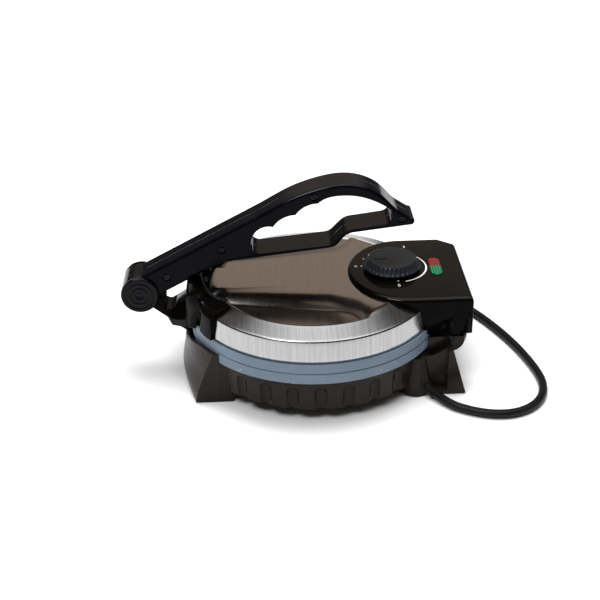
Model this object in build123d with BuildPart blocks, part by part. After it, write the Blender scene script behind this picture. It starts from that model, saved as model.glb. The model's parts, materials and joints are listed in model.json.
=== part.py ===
from build123d import *
import os
from math import asin, cos, degrees, pi, radians, sin, sqrt, tan

# Roti maker with a folding press handle. Millimetres, +Z up, table at z = 0.
# The plates' axis is X = Y = 0 here, the hinge is towards +X and the handle's pivot towards -X.

# ---- Driving dimensions ----
plate_r = 103.0            # cooking plates
plate_web = 5.0
plate_rim = 4.0
plate_rim_low = 37.6       # lower edge of the lower plate's rim
plate_top = 46.0           # cooking face of the lower plate
plate_gap = 0.3            # between the two cooking faces
upper_rim_height = 7.9
plate_relief = 0.6         # radial room round the plates
boss_circle_r = 40.0
boss_r = 4.5
boss_count = 3

element_r = 68.0           # sheathed ring heater
element_tube_r = 3.3
element_arc = 312.0
element_gap = 0.05
terminal_length = 2.5
reflector_r = 90.0
reflector_t = 1.2
reflector_drop = 10.0      # from the back of a plate to its reflector

skirt_low_z = 11.0
skirt_low_r = 98.3
skirt_top_r = 99.3
skirt_wall = 4.0
flange_r = 101.5
flange_t = 2.0
ledge_t = 3.0
ledge_inner_r = 86.0
flute_pitch = 12.86        # degrees between flutes
flutes_per_side = 7
flute_r = 6.0
flute_depth = 2.4
flute_top_z = 31.0

leg_low_z = 1.2            # plastic stands on pads this thick
pad_r = 4.0
pad_seat = 1.6             # depth of a pad's pocket in its leg

apron_y = 66.0
apron_wall = 3.0
apron_foot_x = 96.5
apron_belly_x = 107.0
apron_belly_z = 20.0
apron_corner_x = 82.5
apron_top_z = 44.8
apron_notch_z = 31.0

hinge_x = 107.5
hinge_z = 43.5
hinge_barrel_r = 14.0
hump_y = 52.0
hump_top_z = 46.0
hump_front_x = 78.0
pin_r = 2.5
pin_fit = 0.05             # running clearance of a pin in a moving part
still_fit = 0.02           # clearance where nothing turns
arm_y = 47.5               # middle of a steel hinge arm
arm_t = 2.0
arm_eye_r = 7.0
arm_slot_gap = 0.6
hump_end_y = 44.5          # outside this the hump's round back narrows to its ends
hump_end_r = 11.0
hump_gap = 0.4             # between the hump and the housing as the lid turns
arm_cross_x = (-4.5, 6.0)  # the arms' cross plate, from the hinge

rear_leg_in_y = 57.0
rear_leg_out_y = 66.5
rear_leg_toe_x = 119.0
rear_leg_top_z = 41.0
rear_leg_ridge_x = 103.5
rear_foot_front_x = 66.0
foot_plate_t = 3.0
bell_x = 78.5
bell_y = -57.0
bell_low_r = 12.5
bell_top_r = 6.0
bell_top_z = 33.0

sheet_t = 0.8              # pressed steel of the lid
lid_low_r = 101.6
lid_edge_r = 98.2
lid_edge_z = 72.4
ring_inner_r = 81.5        # sloping ring round the lid's top
ring_inner_z = 77.0
dome_r = 76.0
dome_z = 79.0
recess_z = 75.6            # the two shallow recesses beside the raised middle
nose_top_x = 83.0
nose_top_y = 19.0
nose_half_angle = 21.0
seat_gap = 0.1             # a moulding that sits on sheet metal

housing_z = 82.5
housing_low_z = 50.5
housing_y = 55.5
housing_nose_x = 75.0
housing_nose_length = 47.0
housing_side_x = 110.0
housing_rear_x = 124.0
housing_rear_y = 44.0
housing_wall = 2.5
housing_round = 4.0
housing_plate_z = 62.2
housing_plate_t = 2.0
housing_boss_x = 109.5
housing_boss_y = (-39.0, -24.0, 24.0, 39.0)
housing_boss_r = 4.0

knob_x = 64.5
knob_gap = 0.4
knob_skirt_r = 24.0
knob_skirt_t = 2.0
knob_low_r = 21.8
knob_top_r = 20.6
knob_top_z = 92.6
knob_grooves = 40
knob_groove_r = 0.9
spindle_r = 3.0
spindle_hole_gap = 1.0
thermostat_size = (20.0, 18.0, 8.0)
thermostat_neck_r = 4.6
thermostat_neck_h = 7.0

lamp_x = 100.5
lamp_width = 10.0
lamp_length = 30.0
lens_flange = 1.6
lens_flange_t = 1.4
lens_proud = 1.4
lens_fit = 0.15
bulb_r = 2.5
bulb_length = 11.0

pivot_x = -143.0
pivot_z = 73.6
barrel_r = 15.4
barrel_y = 14.0
barrel_cap_t = 3.0
pivot_pin_r = 3.0
knuckle_y = 5.0
knuckle_gap = 0.5
handle_y = 14.0
handle_round = 2.4

bracket_t = 2.4
bracket_y = 42.0           # half width where it meets the lid
bracket_nose_y = 20.0      # half width at its front lip
strap_angles = (25.0, 35.0)
collar_inner_r = 84.0
window_y = 33.0

screw_r = 1.5
screw_hole_gap = 0.1
head_r = 3.0
head_t = 2.0

cord_r = 3.5
cord_floor = 0.15          # lowest point of the lead above the table

# ---- Values that follow ----
plate_face = plate_top + plate_gap
lower_back_z = plate_top - plate_web
upper_back_z = plate_face + plate_web
upper_rim_high = plate_face + upper_rim_height
lower_reflector_z = lower_back_z - reflector_drop - reflector_t
upper_reflector_z = upper_back_z + reflector_drop
hole_r = screw_r + screw_hole_gap
front_x = pivot_x - barrel_r
row_x = -(front_x + housing_rear_x) / 2      # brings the middle of the object to the origin


def hinge_cone(grow):
    # Both tapered ends of the hump's round back, about the hinge's axis.
    with BuildPart() as cones:
        for side in (-1, 1):
            with BuildSketch(Plane.XY.offset(hinge_z)):
                with BuildLine():
                    Polyline((hinge_x, side * hump_end_y), (hinge_x + hinge_barrel_r + grow, side * hump_end_y),
                             (hinge_x + hump_end_r + grow, side * (hump_y + hump_gap)),
                             (hinge_x, side * (hump_y + hump_gap)), close=True)
                make_face()
            revolve(axis=Axis((hinge_x, 0, hinge_z), (0, 1, 0)))
    return cones.part


def screws(seats, length):
    # Pan-head screws; each seat is the plane under a head, its normal pointing out of the head.
    with BuildPart() as group:
        with Locations(*[seat.location for seat in seats]):
            Cylinder(head_r, head_t, align=(Align.CENTER, Align.CENTER, Align.MIN))
            Cylinder(screw_r, length, align=(Align.CENTER, Align.CENTER, Align.MAX))
        fillet(group.edges().filter_by(GeomType.CIRCLE).group_by(SortBy.RADIUS)[-1]
               .filter_by(lambda e: any((e @ 0 - seat.origin).dot(seat.z_dir) > head_t / 2
                                        and (e @ 0 - seat.origin).length < 2 * head_r for seat in seats)),
               head_t * 0.4)
    return group


def screw_holes(seats, length, radius=hole_r):
    with BuildPart() as group:
        with Locations(*[seat.location for seat in seats]):
            Cylinder(radius, length, align=(Align.CENTER, Align.CENTER, Align.MAX))
    return group.part


def ring_seats(radius, z, count, start, up):
    normal = (0, 0, 1) if up else (0, 0, -1)
    turns = [radians(start + 360 * i / count) for i in range(count)]
    return [Plane((radius * cos(a), radius * sin(a), z), z_dir=normal) for a in turns]


# ---- Cooking plates ----
lower_boss_seats = ring_seats(boss_circle_r, lower_reflector_z, boss_count, 60, up=False)
upper_boss_seats = ring_seats(boss_circle_r, upper_reflector_z + reflector_t, boss_count, 60, up=True)
plate_screw_length = reflector_t + reflector_drop - 3.0

with BuildPart() as lower_plate:
    with BuildSketch(Plane.XZ):
        with BuildLine():
            Polyline((0, lower_back_z), (plate_r - plate_rim, lower_back_z),
                     (plate_r - plate_rim, plate_rim_low), (plate_r, plate_rim_low),
                     (plate_r, plate_top), (0, plate_top), close=True)
        make_face()
    revolve(axis=Axis.Z)
    chamfer(lower_plate.edges().group_by(Axis.Z)[-1], 0.5)
    with BuildSketch(Plane.XY.offset(lower_back_z)):
        with PolarLocations(boss_circle_r, boss_count, start_angle=60):
            Circle(boss_r)
    extrude(amount=-reflector_drop)
    add(screw_holes(lower_boss_seats, plate_screw_length + 1), mode=Mode.SUBTRACT)
lower_plate.part.label = "lower_plate"

with BuildPart() as upper_plate:
    with BuildSketch(Plane.XZ):
        with BuildLine():
            Polyline((0, plate_face), (plate_r, plate_face), (plate_r, upper_rim_high),
                     (plate_r - plate_rim, upper_rim_high), (plate_r - plate_rim, upper_back_z),
                     (0, upper_back_z), close=True)
        make_face()
    revolve(axis=Axis.Z)
    chamfer(upper_plate.edges().group_by(Axis.Z)[0], 0.5)
    with BuildSketch(Plane.XY.offset(upper_back_z)):
        with PolarLocations(boss_circle_r, boss_count, start_angle=60):
            Circle(boss_r)
    extrude(amount=reflector_drop)
    add(screw_holes(upper_boss_seats, plate_screw_length + 1), mode=Mode.SUBTRACT)
upper_plate.part.label = "upper_plate"

lower_plate_screws = screws(lower_boss_seats, plate_screw_length)
lower_plate_screws.part.label = "lower_plate_screws"
upper_plate_screws = screws(upper_boss_seats, plate_screw_length)
upper_plate_screws.part.label = "upper_plate_screws"


def ring_element(back_z, side):
    # Tube bent to a ring that is open towards the hinge, with its two terminals turned off the plate.
    tube_z = back_z + side * (element_tube_r + element_gap)
    half_gap = (360 - element_arc) / 2
    with BuildPart() as ring:
        with BuildSketch(Plane.XZ.rotated((0, 0, half_gap))):
            with Locations((element_r, tube_z)):
                Circle(element_tube_r)
        revolve(axis=Axis.Z, revolution_arc=element_arc)
        with Locations(*[Pos(element_r * cos(radians(a)), element_r * sin(radians(a)), tube_z)
                         for a in (half_gap + 2, -half_gap - 2)]):
            end = Align.MIN if side > 0 else Align.MAX
            Cylinder(element_tube_r * 0.6, element_tube_r + terminal_length, align=(Align.CENTER, Align.CENTER, end))
    return ring


lower_element = ring_element(lower_back_z, -1)
lower_element.part.label = "lower_element"
upper_element = ring_element(upper_back_z, 1)
upper_element.part.label = "upper_element"


def reflector(z, seats, neck_hole):
    with BuildPart() as sheet:
        with BuildSketch(Plane.XY.offset(z)):
            Circle(reflector_r)
            with PolarLocations(boss_circle_r, boss_count, start_angle=60):
                Circle(hole_r, mode=Mode.SUBTRACT)
            if neck_hole:
                with Locations((knob_x, 0)):
                    Circle(thermostat_neck_r + 1, mode=Mode.SUBTRACT)
        extrude(amount=reflector_t)
    return sheet


lower_reflector = reflector(lower_reflector_z, lower_boss_seats, neck_hole=False)
lower_reflector.part.label = "lower_reflector"
upper_reflector = reflector(upper_reflector_z, upper_boss_seats, neck_hole=True)
upper_reflector.part.label = "upper_reflector"

# ---- Base ----
flute_axis_r = skirt_low_r + flute_r - flute_depth
flute_shoulder = sqrt(flute_r ** 2 - (flute_r - flute_depth) ** 2)
flute_straight_z = flute_top_z - flute_shoulder

with BuildPart() as flute:
    # An upright round-topped groove: its cylinder ends in a ball.
    Cylinder(flute_r, flute_straight_z, align=(Align.CENTER, Align.CENTER, Align.MIN))
    with Locations((0, 0, flute_straight_z)):
        Sphere(flute_r)


def apron_section(z, x_mid, x_side, inset):
    with BuildSketch(Plane.XY.offset(z)) as section:
        with BuildLine():
            side = apron_y - inset
            front = ThreePointArc((inset - x_side, -side), (inset - x_mid, 0), (inset - x_side, side))
            Polyline(front @ 1, (-50, side), (-50, -side), front @ 0)
        make_face()
    return section.sketch


def apron_form(inset):
    # The front of the base swells from a straight foot to an arc round the plates.
    with BuildPart() as form:
        sections = [apron_section(leg_low_z, apron_foot_x + 1.5, apron_foot_x, inset),
                    apron_section(apron_belly_z, apron_belly_x, apron_foot_x - 3.5, inset),
                    apron_section(hump_top_z, apron_belly_x, apron_corner_x, inset)]
        loft(sections)
    return form.part


apron_outer = apron_form(0)
apron_inner = apron_form(apron_wall)
plate_room_r = plate_r + plate_relief

with BuildPart() as apron:
    add(apron_outer)
    add(apron_inner, mode=Mode.SUBTRACT)
    Cylinder(skirt_low_r - 2.5, 2 * hump_top_z, mode=Mode.SUBTRACT)
    with Locations((0, 0, plate_rim_low - plate_relief)):
        Cylinder(plate_room_r, hump_top_z, align=(Align.CENTER, Align.CENTER, Align.MIN), mode=Mode.SUBTRACT)
    with BuildSketch(Plane.YZ.offset(-apron_belly_x - 10)):
        with BuildLine():
            rim = Spline((-apron_y - 5, apron_top_z), (-52, apron_top_z - 0.5), (-30, 39.5), (0, apron_notch_z),
                         (30, 39.5), (52, apron_top_z - 0.5), (apron_y + 5, apron_top_z))
            Polyline(rim @ 1, (apron_y + 5, 2 * hump_top_z), (-apron_y - 5, 2 * hump_top_z), rim @ 0)
        make_face()
    extrude(amount=apron_belly_x, mode=Mode.SUBTRACT)

# The lead leaves through the bell beside the rear leg, on the near side, and slopes down to the table.
exit_point = Vector(82.5, -55.5, 6.3)
exit_way = Vector(0.53, -0.84, -0.06).normalized()
relief_in = 6.0
relief_out = 20.0
relief_big_r = 5.6
relief_small_r = 4.1
exit_plane = Plane(exit_point, z_dir=exit_way)

pad_places = [(-88, -57), (-88, 57), (111, -61.8), (111, 61.8)]


def rear_leg(side):
    # Fin, recessed wall and foot of one rear leg, from inside out.
    inner = side * rear_leg_in_y
    outward = Plane((0, inner, 0), x_dir=(1, 0, 0), z_dir=(0, side, 0))
    up = -side                                   # the plane's second axis points down on the far side
    depth = rear_leg_out_y - rear_leg_in_y
    with BuildPart() as leg:
        with BuildSketch(outward):
            with BuildLine():
                Polyline((rear_leg_ridge_x, up * leg_low_z), (rear_leg_toe_x, up * leg_low_z),
                         (rear_leg_ridge_x + 4.2, up * rear_leg_top_z),
                         (rear_leg_ridge_x + 0.5, up * rear_leg_top_z), close=True)
            make_face()
        extrude(amount=depth)
        with BuildSketch(outward):
            with BuildLine():
                Polyline((76.5, up * leg_low_z), (rear_leg_ridge_x + 1, up * leg_low_z),
                         (rear_leg_ridge_x + 1, up * (rear_leg_top_z - 1)), (92, up * 33), (76.5, up * 33), close=True)
            make_face()
        extrude(amount=apron_wall)
        with BuildSketch(Plane.XY.offset(leg_low_z)):
            with BuildLine():
                arc = ThreePointArc((rear_foot_front_x, inner), (78, side * (rear_leg_out_y - 2.5)),
                                    (96, side * rear_leg_out_y))
                Polyline(arc @ 1, (rear_leg_toe_x - 2, side * rear_leg_out_y), (rear_leg_toe_x - 2, inner), arc @ 0)
            make_face()
        extrude(amount=foot_plate_t)
    return leg.part


near_leg = rear_leg(-1)
far_leg = rear_leg(1)

hump_bottom_z = hinge_z - hinge_barrel_r
hump_top_angle = degrees(asin((hump_top_z - hinge_z) / hinge_barrel_r))
cover_seat_r = ledge_inner_r - 2
post_r = 5.0
cover_t = 2.5
cover_top_z = skirt_low_z + cover_t
cover_seats = ring_seats(cover_seat_r, skirt_low_z, 4, 45, up=False)

with BuildPart() as front_feet:
    # Closed corners of the apron, where the front pads sit.
    add(apron_outer)
    with BuildSketch(Plane.XY.offset(leg_low_z)):
        with Locations((-apron_foot_x, -apron_y + 8), (-apron_foot_x, apron_y - 8)):
            Rectangle(60, 18)
    extrude(amount=foot_plate_t, mode=Mode.INTERSECT)
    Cylinder(skirt_low_r - 2.5, 2 * hump_top_z, mode=Mode.SUBTRACT)

with BuildPart() as bell:
    # Half-round bell over the lead's exit, standing on the rear foot.
    with BuildSketch(Plane.XY.offset(leg_low_z)):
        with Locations((bell_x, bell_y)):
            Circle(bell_low_r)
    with BuildSketch(Plane.XY.offset(bell_top_z)):
        with Locations((bell_x, bell_y - 1)):
            Circle(bell_top_r)
    loft()
    Cylinder(skirt_low_r - 2, 3 * bell_top_z, mode=Mode.SUBTRACT)
    with BuildSketch(Plane.XY):
        with Locations((hinge_x, 0)):
            Rectangle(2 * hinge_barrel_r + 30, 2 * rear_leg_in_y)
    extrude(amount=bell_top_z, mode=Mode.SUBTRACT)

with BuildPart() as hump:
    # Carries the hinge pin; round at the back about the pin.
    with BuildSketch(Plane.XZ.offset(-hump_y)):
        with BuildLine():
            back = CenterArc((hinge_x, hinge_z), hinge_barrel_r, -90, 90 + hump_top_angle)
            Polyline(back @ 1, (hump_front_x, hump_top_z), (hump_front_x, hump_bottom_z), back @ 0)
        make_face()
    extrude(amount=2 * hump_y)
    with BuildPart(mode=Mode.SUBTRACT) as ends:
        for side in (-1, 1):
            with Locations((hinge_x, side * hump_end_y, hinge_z)):
                Box(2 * hinge_barrel_r, 2 * (hump_y - hump_end_y), 4 * hinge_barrel_r,
                    align=(Align.MIN, Align.MIN if side > 0 else Align.MAX, Align.CENTER))
        add(hinge_cone(0), mode=Mode.SUBTRACT)
    Cylinder(skirt_low_r - 2.5, 3 * hump_top_z, mode=Mode.SUBTRACT)

with BuildPart() as base_housing:
    with BuildSketch(Plane.XZ):
        with BuildLine():
            Polyline((skirt_low_r - skirt_wall, skirt_low_z), (skirt_low_r, skirt_low_z),
                     (skirt_top_r, plate_rim_low - 2 * flange_t), (flange_r, plate_rim_low - flange_t),
                     (flange_r, plate_rim_low), (skirt_low_r - skirt_wall + 1, plate_rim_low),
                     (skirt_low_r - skirt_wall + 1, lower_reflector_z), (ledge_inner_r, lower_reflector_z),
                     (ledge_inner_r, lower_reflector_z - ledge_t),
                     (skirt_low_r - skirt_wall, lower_reflector_z - ledge_t), close=True)
        make_face()
    revolve(axis=Axis.Z)
    add(apron.part)
    add(front_feet.part)
    add(near_leg)
    add(far_leg)
    add(bell.part)
    span = flute_pitch * (flutes_per_side - 1)
    for side in (-1, 1):
        with PolarLocations(flute_axis_r, flutes_per_side, side * 90 - span / 2, span, endpoint=True):
            add(flute.part, mode=Mode.SUBTRACT)
    add(hump.part)
    with Locations((0, 0, plate_rim_low)):
        Cylinder(plate_room_r, hump_top_z, align=(Align.CENTER, Align.CENTER, Align.MIN), mode=Mode.SUBTRACT)
    slot_bottom_z = hinge_z - arm_eye_r - 1
    with Locations((hinge_x + 2, -arm_y, slot_bottom_z), (hinge_x + 2, arm_y, slot_bottom_z)):
        Box(2.2 * hinge_barrel_r, arm_t + 2 * arm_slot_gap, 2 * hinge_barrel_r,
            align=(Align.CENTER, Align.CENTER, Align.MIN), mode=Mode.SUBTRACT)
    # Open at the back and below, where the arms swing down.
    with Locations((hinge_x + 2, -arm_y, hinge_z), (hinge_x + 2, arm_y, hinge_z)):
        Box(2 * hinge_barrel_r, arm_t + 2 * arm_slot_gap, 3 * hinge_barrel_r,
            align=(Align.MIN, Align.CENTER, Align.CENTER), mode=Mode.SUBTRACT)
    with Locations(Plane((hinge_x, 0, hinge_z), z_dir=(0, 1, 0)).location):
        Cylinder(pin_r + still_fit, 3 * hump_y, mode=Mode.SUBTRACT)
    # Posts for the bottom cover's screws.
    with BuildSketch(Plane.XY.offset(cover_top_z)):
        with PolarLocations(cover_seat_r, 4, start_angle=45):
            Circle(post_r)
    extrude(amount=lower_reflector_z - ledge_t / 2 - cover_top_z)
    add(screw_holes(cover_seats, 14), mode=Mode.SUBTRACT)
    # The lead's way out, and pockets for the pads.
    with Locations(exit_plane.location):
        Cylinder(relief_big_r + 0.3, 2 * relief_out, mode=Mode.SUBTRACT)
    with BuildSketch(Plane.XY.offset(leg_low_z)):
        with Locations(*pad_places):
            Circle(pad_r + still_fit)
    extrude(amount=pad_seat, mode=Mode.SUBTRACT)
base_housing.part.label = "base_housing"

with BuildPart() as rubber_feet:
    with Locations(*[(x, y, 0) for x, y in pad_places]):
        Cylinder(pad_r, leg_low_z + pad_seat, align=(Align.CENTER, Align.CENTER, Align.MIN))
    chamfer(rubber_feet.edges().group_by(Axis.Z)[0], 0.4)
rubber_feet.part.label = "rubber_feet"

cover_r = skirt_low_r - skirt_wall - 0.3
vent_length = 22.0
vent_width = 4.0
with BuildPart() as bottom_cover:
    with BuildSketch(Plane.XY.offset(skirt_low_z)):
        Circle(cover_r)
        with PolarLocations(cover_seat_r, 4, start_angle=45):
            Circle(hole_r, mode=Mode.SUBTRACT)
        with PolarLocations(46, 18):
            SlotOverall(vent_length, vent_width, mode=Mode.SUBTRACT)
        with Locations((exit_point.X, exit_point.Y)):
            Circle(24, mode=Mode.SUBTRACT)
    extrude(amount=cover_t)
bottom_cover.part.label = "bottom_cover"

cover_screws = screws(cover_seats, 12)
cover_screws.part.label = "cover_screws"

with BuildPart() as hinge_pin:
    with Locations(Plane((hinge_x, 0, hinge_z), z_dir=(0, 1, 0)).location):
        Cylinder(pin_r, 2 * hump_y - 1)
    chamfer(hinge_pin.edges().filter_by(GeomType.CIRCLE), 0.4)
hinge_pin.part.label = "hinge_pin"

# ---- Steel lid ----


def on_ring(radius, x):
    return Vector(x, -sqrt(radius ** 2 - x ** 2))


def recess_section(z, radius, start_x, corner, end_x):
    # Straight side along the raised middle, a flare to the ring, and back along the ring.
    start, end = on_ring(radius, start_x), on_ring(radius, end_x)
    half_way = (start + end).normalized() * radius
    with BuildSketch(Plane.XY.offset(z)) as section:
        with BuildLine():
            side = Line(start, corner)
            flare = TangentArc(corner, end, tangent=side % 1)
            ThreePointArc(flare @ 1, half_way, start)
        make_face()
    return section.sketch


def lid_form(inset, low_z):
    # The lid's outer form, or the same form drawn in by a thickness.
    edge_z = lid_edge_z - inset
    top_z = dome_z - inset
    taper = (lid_low_r - lid_edge_r) / (lid_edge_z - upper_rim_high)
    low_r = lid_low_r - inset + taper * (upper_rim_high - low_z)
    with BuildPart() as form:
        with BuildSketch(Plane.XZ):
            with BuildLine():
                Polyline((0, low_z), (low_r, low_z), (lid_edge_r - inset, edge_z),
                         (ring_inner_r, ring_inner_z - inset), (dome_r, top_z), (0, top_z), close=True)
            make_face()
        revolve(axis=Axis.Z)
        # The raised middle runs out to the front edge.
        turn = radians(nose_half_angle)
        nose_r = lid_edge_r - inset - 0.6
        low_corner = (nose_r * -cos(turn), nose_r * sin(turn))
        with BuildSketch(Plane.XY.offset(edge_z)) as nose_low:
            with BuildLine():
                bow = ThreePointArc((low_corner[0], -low_corner[1]), (-nose_r, 0), low_corner)
                Polyline(bow @ 1, (-50, low_corner[1]), (-50, -low_corner[1]), bow @ 0)
            make_face()
        with BuildSketch(Plane.XY.offset(top_z)) as nose_top:
            with BuildLine():
                bow = ThreePointArc((-nose_top_x + 3, -nose_top_y), (-nose_top_x, 0), (-nose_top_x + 3, nose_top_y))
                Polyline(bow @ 1, (-50, nose_top_y), (-50, -nose_top_y), bow @ 0)
            make_face()
        loft([nose_low.sketch, nose_top.sketch], ruled=True)
    recess_r = ring_inner_r + inset
    with BuildPart() as recess:
        loft([recess_section(recess_z - inset, recess_r - 1, -69.5, Vector(17, -57.5), 34),
              recess_section(top_z + 0.5, recess_r + 0.2, -78.5, Vector(21, -28.5), 53)], ruled=True)
    with BuildPart() as whole:
        add(form.part)
        add(recess.part, mode=Mode.SUBTRACT)
        add(recess.part.mirror(Plane.XZ), mode=Mode.SUBTRACT)
    return whole.part


lid_outer = lid_form(0, upper_rim_high)
lid_inner = lid_form(sheet_t, upper_rim_high - 1)
lid_seat = lid_form(-seat_gap, upper_rim_high - 8)

bracket_screw_seats = [Plane((-(lid_edge_r - 3.2), y, 61.0), z_dir=(1, 0, 0)) for y in (-14, 14)]

with BuildPart() as lid_shell:
    add(lid_outer)
    add(lid_inner, mode=Mode.SUBTRACT)
    with Locations((knob_x, 0, dome_z)):
        Cylinder(spindle_r + spindle_hole_gap, 4, mode=Mode.SUBTRACT)
    add(screw_holes(bracket_screw_seats, 12), mode=Mode.SUBTRACT)
lid_shell.part.label = "lid_shell"


# ---- Control housing ----
def housing_outline(inset, z):
    with BuildSketch(Plane.XY.offset(z)) as outline:
        with BuildLine():
            side = housing_y - inset
            nose = EllipticalCenterArc((housing_nose_x, 0), housing_nose_length - inset, side,
                                       start_angle=90, arc_size=180)
            Polyline(nose @ 1, (housing_side_x - inset * 0.4, -side), (housing_rear_x - inset, -housing_rear_y),
                     (housing_rear_x - inset, housing_rear_y), (housing_side_x - inset * 0.4, side), nose @ 0)
        make_face()
    return outline.sketch


def housing_form(inset, low_z, round_r):
    with BuildPart() as form:
        add(housing_outline(inset, low_z))
        extrude(amount=housing_z - inset - low_z)
        fillet(form.edges().filter_by(Axis.Z).filter_by(lambda e: e.center().X > housing_nose_x + 5), 5)
        fillet(form.faces().sort_by(Axis.Z)[-1].edges(), round_r)
    return form.part


lens_top_z = housing_z + lens_proud
housing_inner_z = housing_z - housing_wall
housing_screw_seats = [Plane((housing_boss_x, y, housing_plate_z - arm_t), z_dir=(0, 0, -1))
                       for y in housing_boss_y]

with BuildPart() as control_housing:
    add(housing_form(0, housing_low_z, housing_round))
    add(housing_form(housing_wall, housing_low_z - 1, housing_round - housing_wall + 0.5), mode=Mode.SUBTRACT)
    with BuildSketch(Plane.XY.offset(housing_plate_z + housing_plate_t)):
        with Locations(*[(housing_boss_x, y) for y in housing_boss_y]):
            Circle(housing_boss_r)
    extrude(amount=housing_inner_z + 0.5 - housing_plate_z - housing_plate_t)
    add(lid_seat, mode=Mode.SUBTRACT)
    Cylinder(plate_room_r, 2 * (upper_rim_high + seat_gap), mode=Mode.SUBTRACT)
    add(hinge_cone(hump_gap), mode=Mode.SUBTRACT)
    add(screw_holes(housing_screw_seats, 16), mode=Mode.SUBTRACT)
    with BuildSketch(Plane.XY.offset(housing_inner_z - 1)):
        with Locations((lamp_x, 0)):
            SlotOverall(lamp_length, lamp_width, rotation=90)
        with Locations((knob_x, 0)):
            Circle(spindle_r + spindle_hole_gap)
    extrude(amount=2 * housing_wall, mode=Mode.SUBTRACT)
control_housing.part.label = "control_housing"

with BuildPart() as housing_plate:
    add(housing_outline(housing_wall + 0.4, housing_plate_z))
    extrude(amount=housing_plate_t)
    fillet(housing_plate.edges().filter_by(Axis.Z).filter_by(lambda e: e.center().X > housing_nose_x + 5), 3)
    Cylinder(lid_low_r + 0.4, 3 * housing_plate_z, mode=Mode.SUBTRACT)
    add(screw_holes(housing_screw_seats, 16), mode=Mode.SUBTRACT)
housing_plate.part.label = "housing_plate"

with BuildPart() as hinge_bracket:
    cross_x = [hinge_x + shift for shift in arm_cross_x]
    with BuildSketch(Plane.XY.offset(housing_plate_z - arm_t)):
        with Locations(((cross_x[0] + cross_x[1]) / 2, 0)):
            Rectangle(cross_x[1] - cross_x[0], 2 * arm_y + arm_t)
    extrude(amount=arm_t)
    for side in (-1, 1):
        with BuildSketch(Plane.XZ.offset(-side * arm_y - arm_t / 2)):
            with Locations((hinge_x, hinge_z)):
                Circle(arm_eye_r)
            with BuildLine():
                Polyline((hinge_x - arm_eye_r, hinge_z), (hinge_x + arm_eye_r, hinge_z),
                         (cross_x[1], housing_plate_z), (cross_x[0] - 8, housing_plate_z), close=True)
            make_face()
        extrude(amount=arm_t)
    with Locations(Plane((hinge_x, 0, hinge_z), z_dir=(0, 1, 0)).location):
        Cylinder(pin_r + pin_fit, 3 * hump_y, mode=Mode.SUBTRACT)
    add(screw_holes(housing_screw_seats, 16), mode=Mode.SUBTRACT)
hinge_bracket.part.label = "hinge_bracket"

hinge_bracket_screws = screws(housing_screw_seats, 14)
hinge_bracket_screws.part.label = "hinge_bracket_screws"


# ---- Lamp window ----
def lens(side):
    with BuildPart() as window:
        with BuildSketch(Plane.XY.offset(housing_inner_z - lens_flange_t)):
            with Locations((lamp_x, 0)):
                SlotOverall(lamp_length + 2 * lens_flange, lamp_width + 2 * lens_flange, rotation=90)
        extrude(amount=lens_flange_t - 0.05)
        with BuildSketch(Plane.XY.offset(housing_inner_z - lens_flange_t)):
            with Locations((lamp_x, 0)):
                SlotOverall(lamp_length - 2 * lens_fit, lamp_width - 2 * lens_fit, rotation=90)
        extrude(amount=lens_top_z - housing_inner_z + lens_flange_t)
        fillet(window.faces().sort_by(Axis.Z)[-1].edges(), 0.8)
        split(bisect_by=Plane((0, side * 0.1, 0), z_dir=(0, side, 0)))
    return window


red_lens = lens(1)
red_lens.part.label = "red_lens"
green_lens = lens(-1)
green_lens.part.label = "green_lens"

with BuildPart() as indicator_lamps:
    bulb_z = housing_inner_z - lens_flange_t - 0.1 - bulb_r
    for side in (-1, 1):
        with Locations(Plane((lamp_x, side * (2 + bulb_length / 2), bulb_z), z_dir=(0, 1, 0)).location):
            Cylinder(bulb_r, bulb_length)
    fillet(indicator_lamps.edges().filter_by(GeomType.CIRCLE), bulb_r * 0.6)
indicator_lamps.part.label = "indicator_lamps"

# ---- Thermostat and knob ----
thermostat_z = upper_back_z + element_gap
neck_top_z = thermostat_z + thermostat_size[2] + thermostat_neck_h
knob_low_z = housing_z + knob_gap
spindle_low_z = neck_top_z - thermostat_neck_h + 1
spindle_top_z = knob_low_z + 6.5


def spindle_section(z, grow):
    # Round with one flat.
    with BuildSketch(Plane.XY.offset(z)) as section:
        with Locations((knob_x, 0)):
            Circle(spindle_r + grow)
        with Locations((knob_x + 2 * spindle_r - 0.8 + grow, 0)):
            Rectangle(2 * spindle_r, 4 * spindle_r, mode=Mode.SUBTRACT)
    return section.sketch


with BuildPart() as thermostat:
    with Locations((knob_x, 0, thermostat_z)):
        Box(*thermostat_size, align=(Align.CENTER, Align.CENTER, Align.MIN))
        Cylinder(thermostat_neck_r, thermostat_size[2] + thermostat_neck_h,
                 align=(Align.CENTER, Align.CENTER, Align.MIN))
    chamfer(thermostat.edges().group_by(Axis.Z)[-1], 0.4)
    with Locations((knob_x, 0, spindle_low_z - 0.2)):
        Cylinder(spindle_r + pin_fit, thermostat_neck_h, align=(Align.CENTER, Align.CENTER, Align.MIN),
                 mode=Mode.SUBTRACT)
thermostat.part.label = "thermostat"

with BuildPart() as thermostat_shaft:
    with Locations((knob_x, 0, spindle_low_z)):
        Cylinder(spindle_r, knob_low_z - spindle_low_z, align=(Align.CENTER, Align.CENTER, Align.MIN))
    add(spindle_section(knob_low_z, 0))
    extrude(amount=spindle_top_z - knob_low_z)
thermostat_shaft.part.label = "thermostat_shaft"

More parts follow.
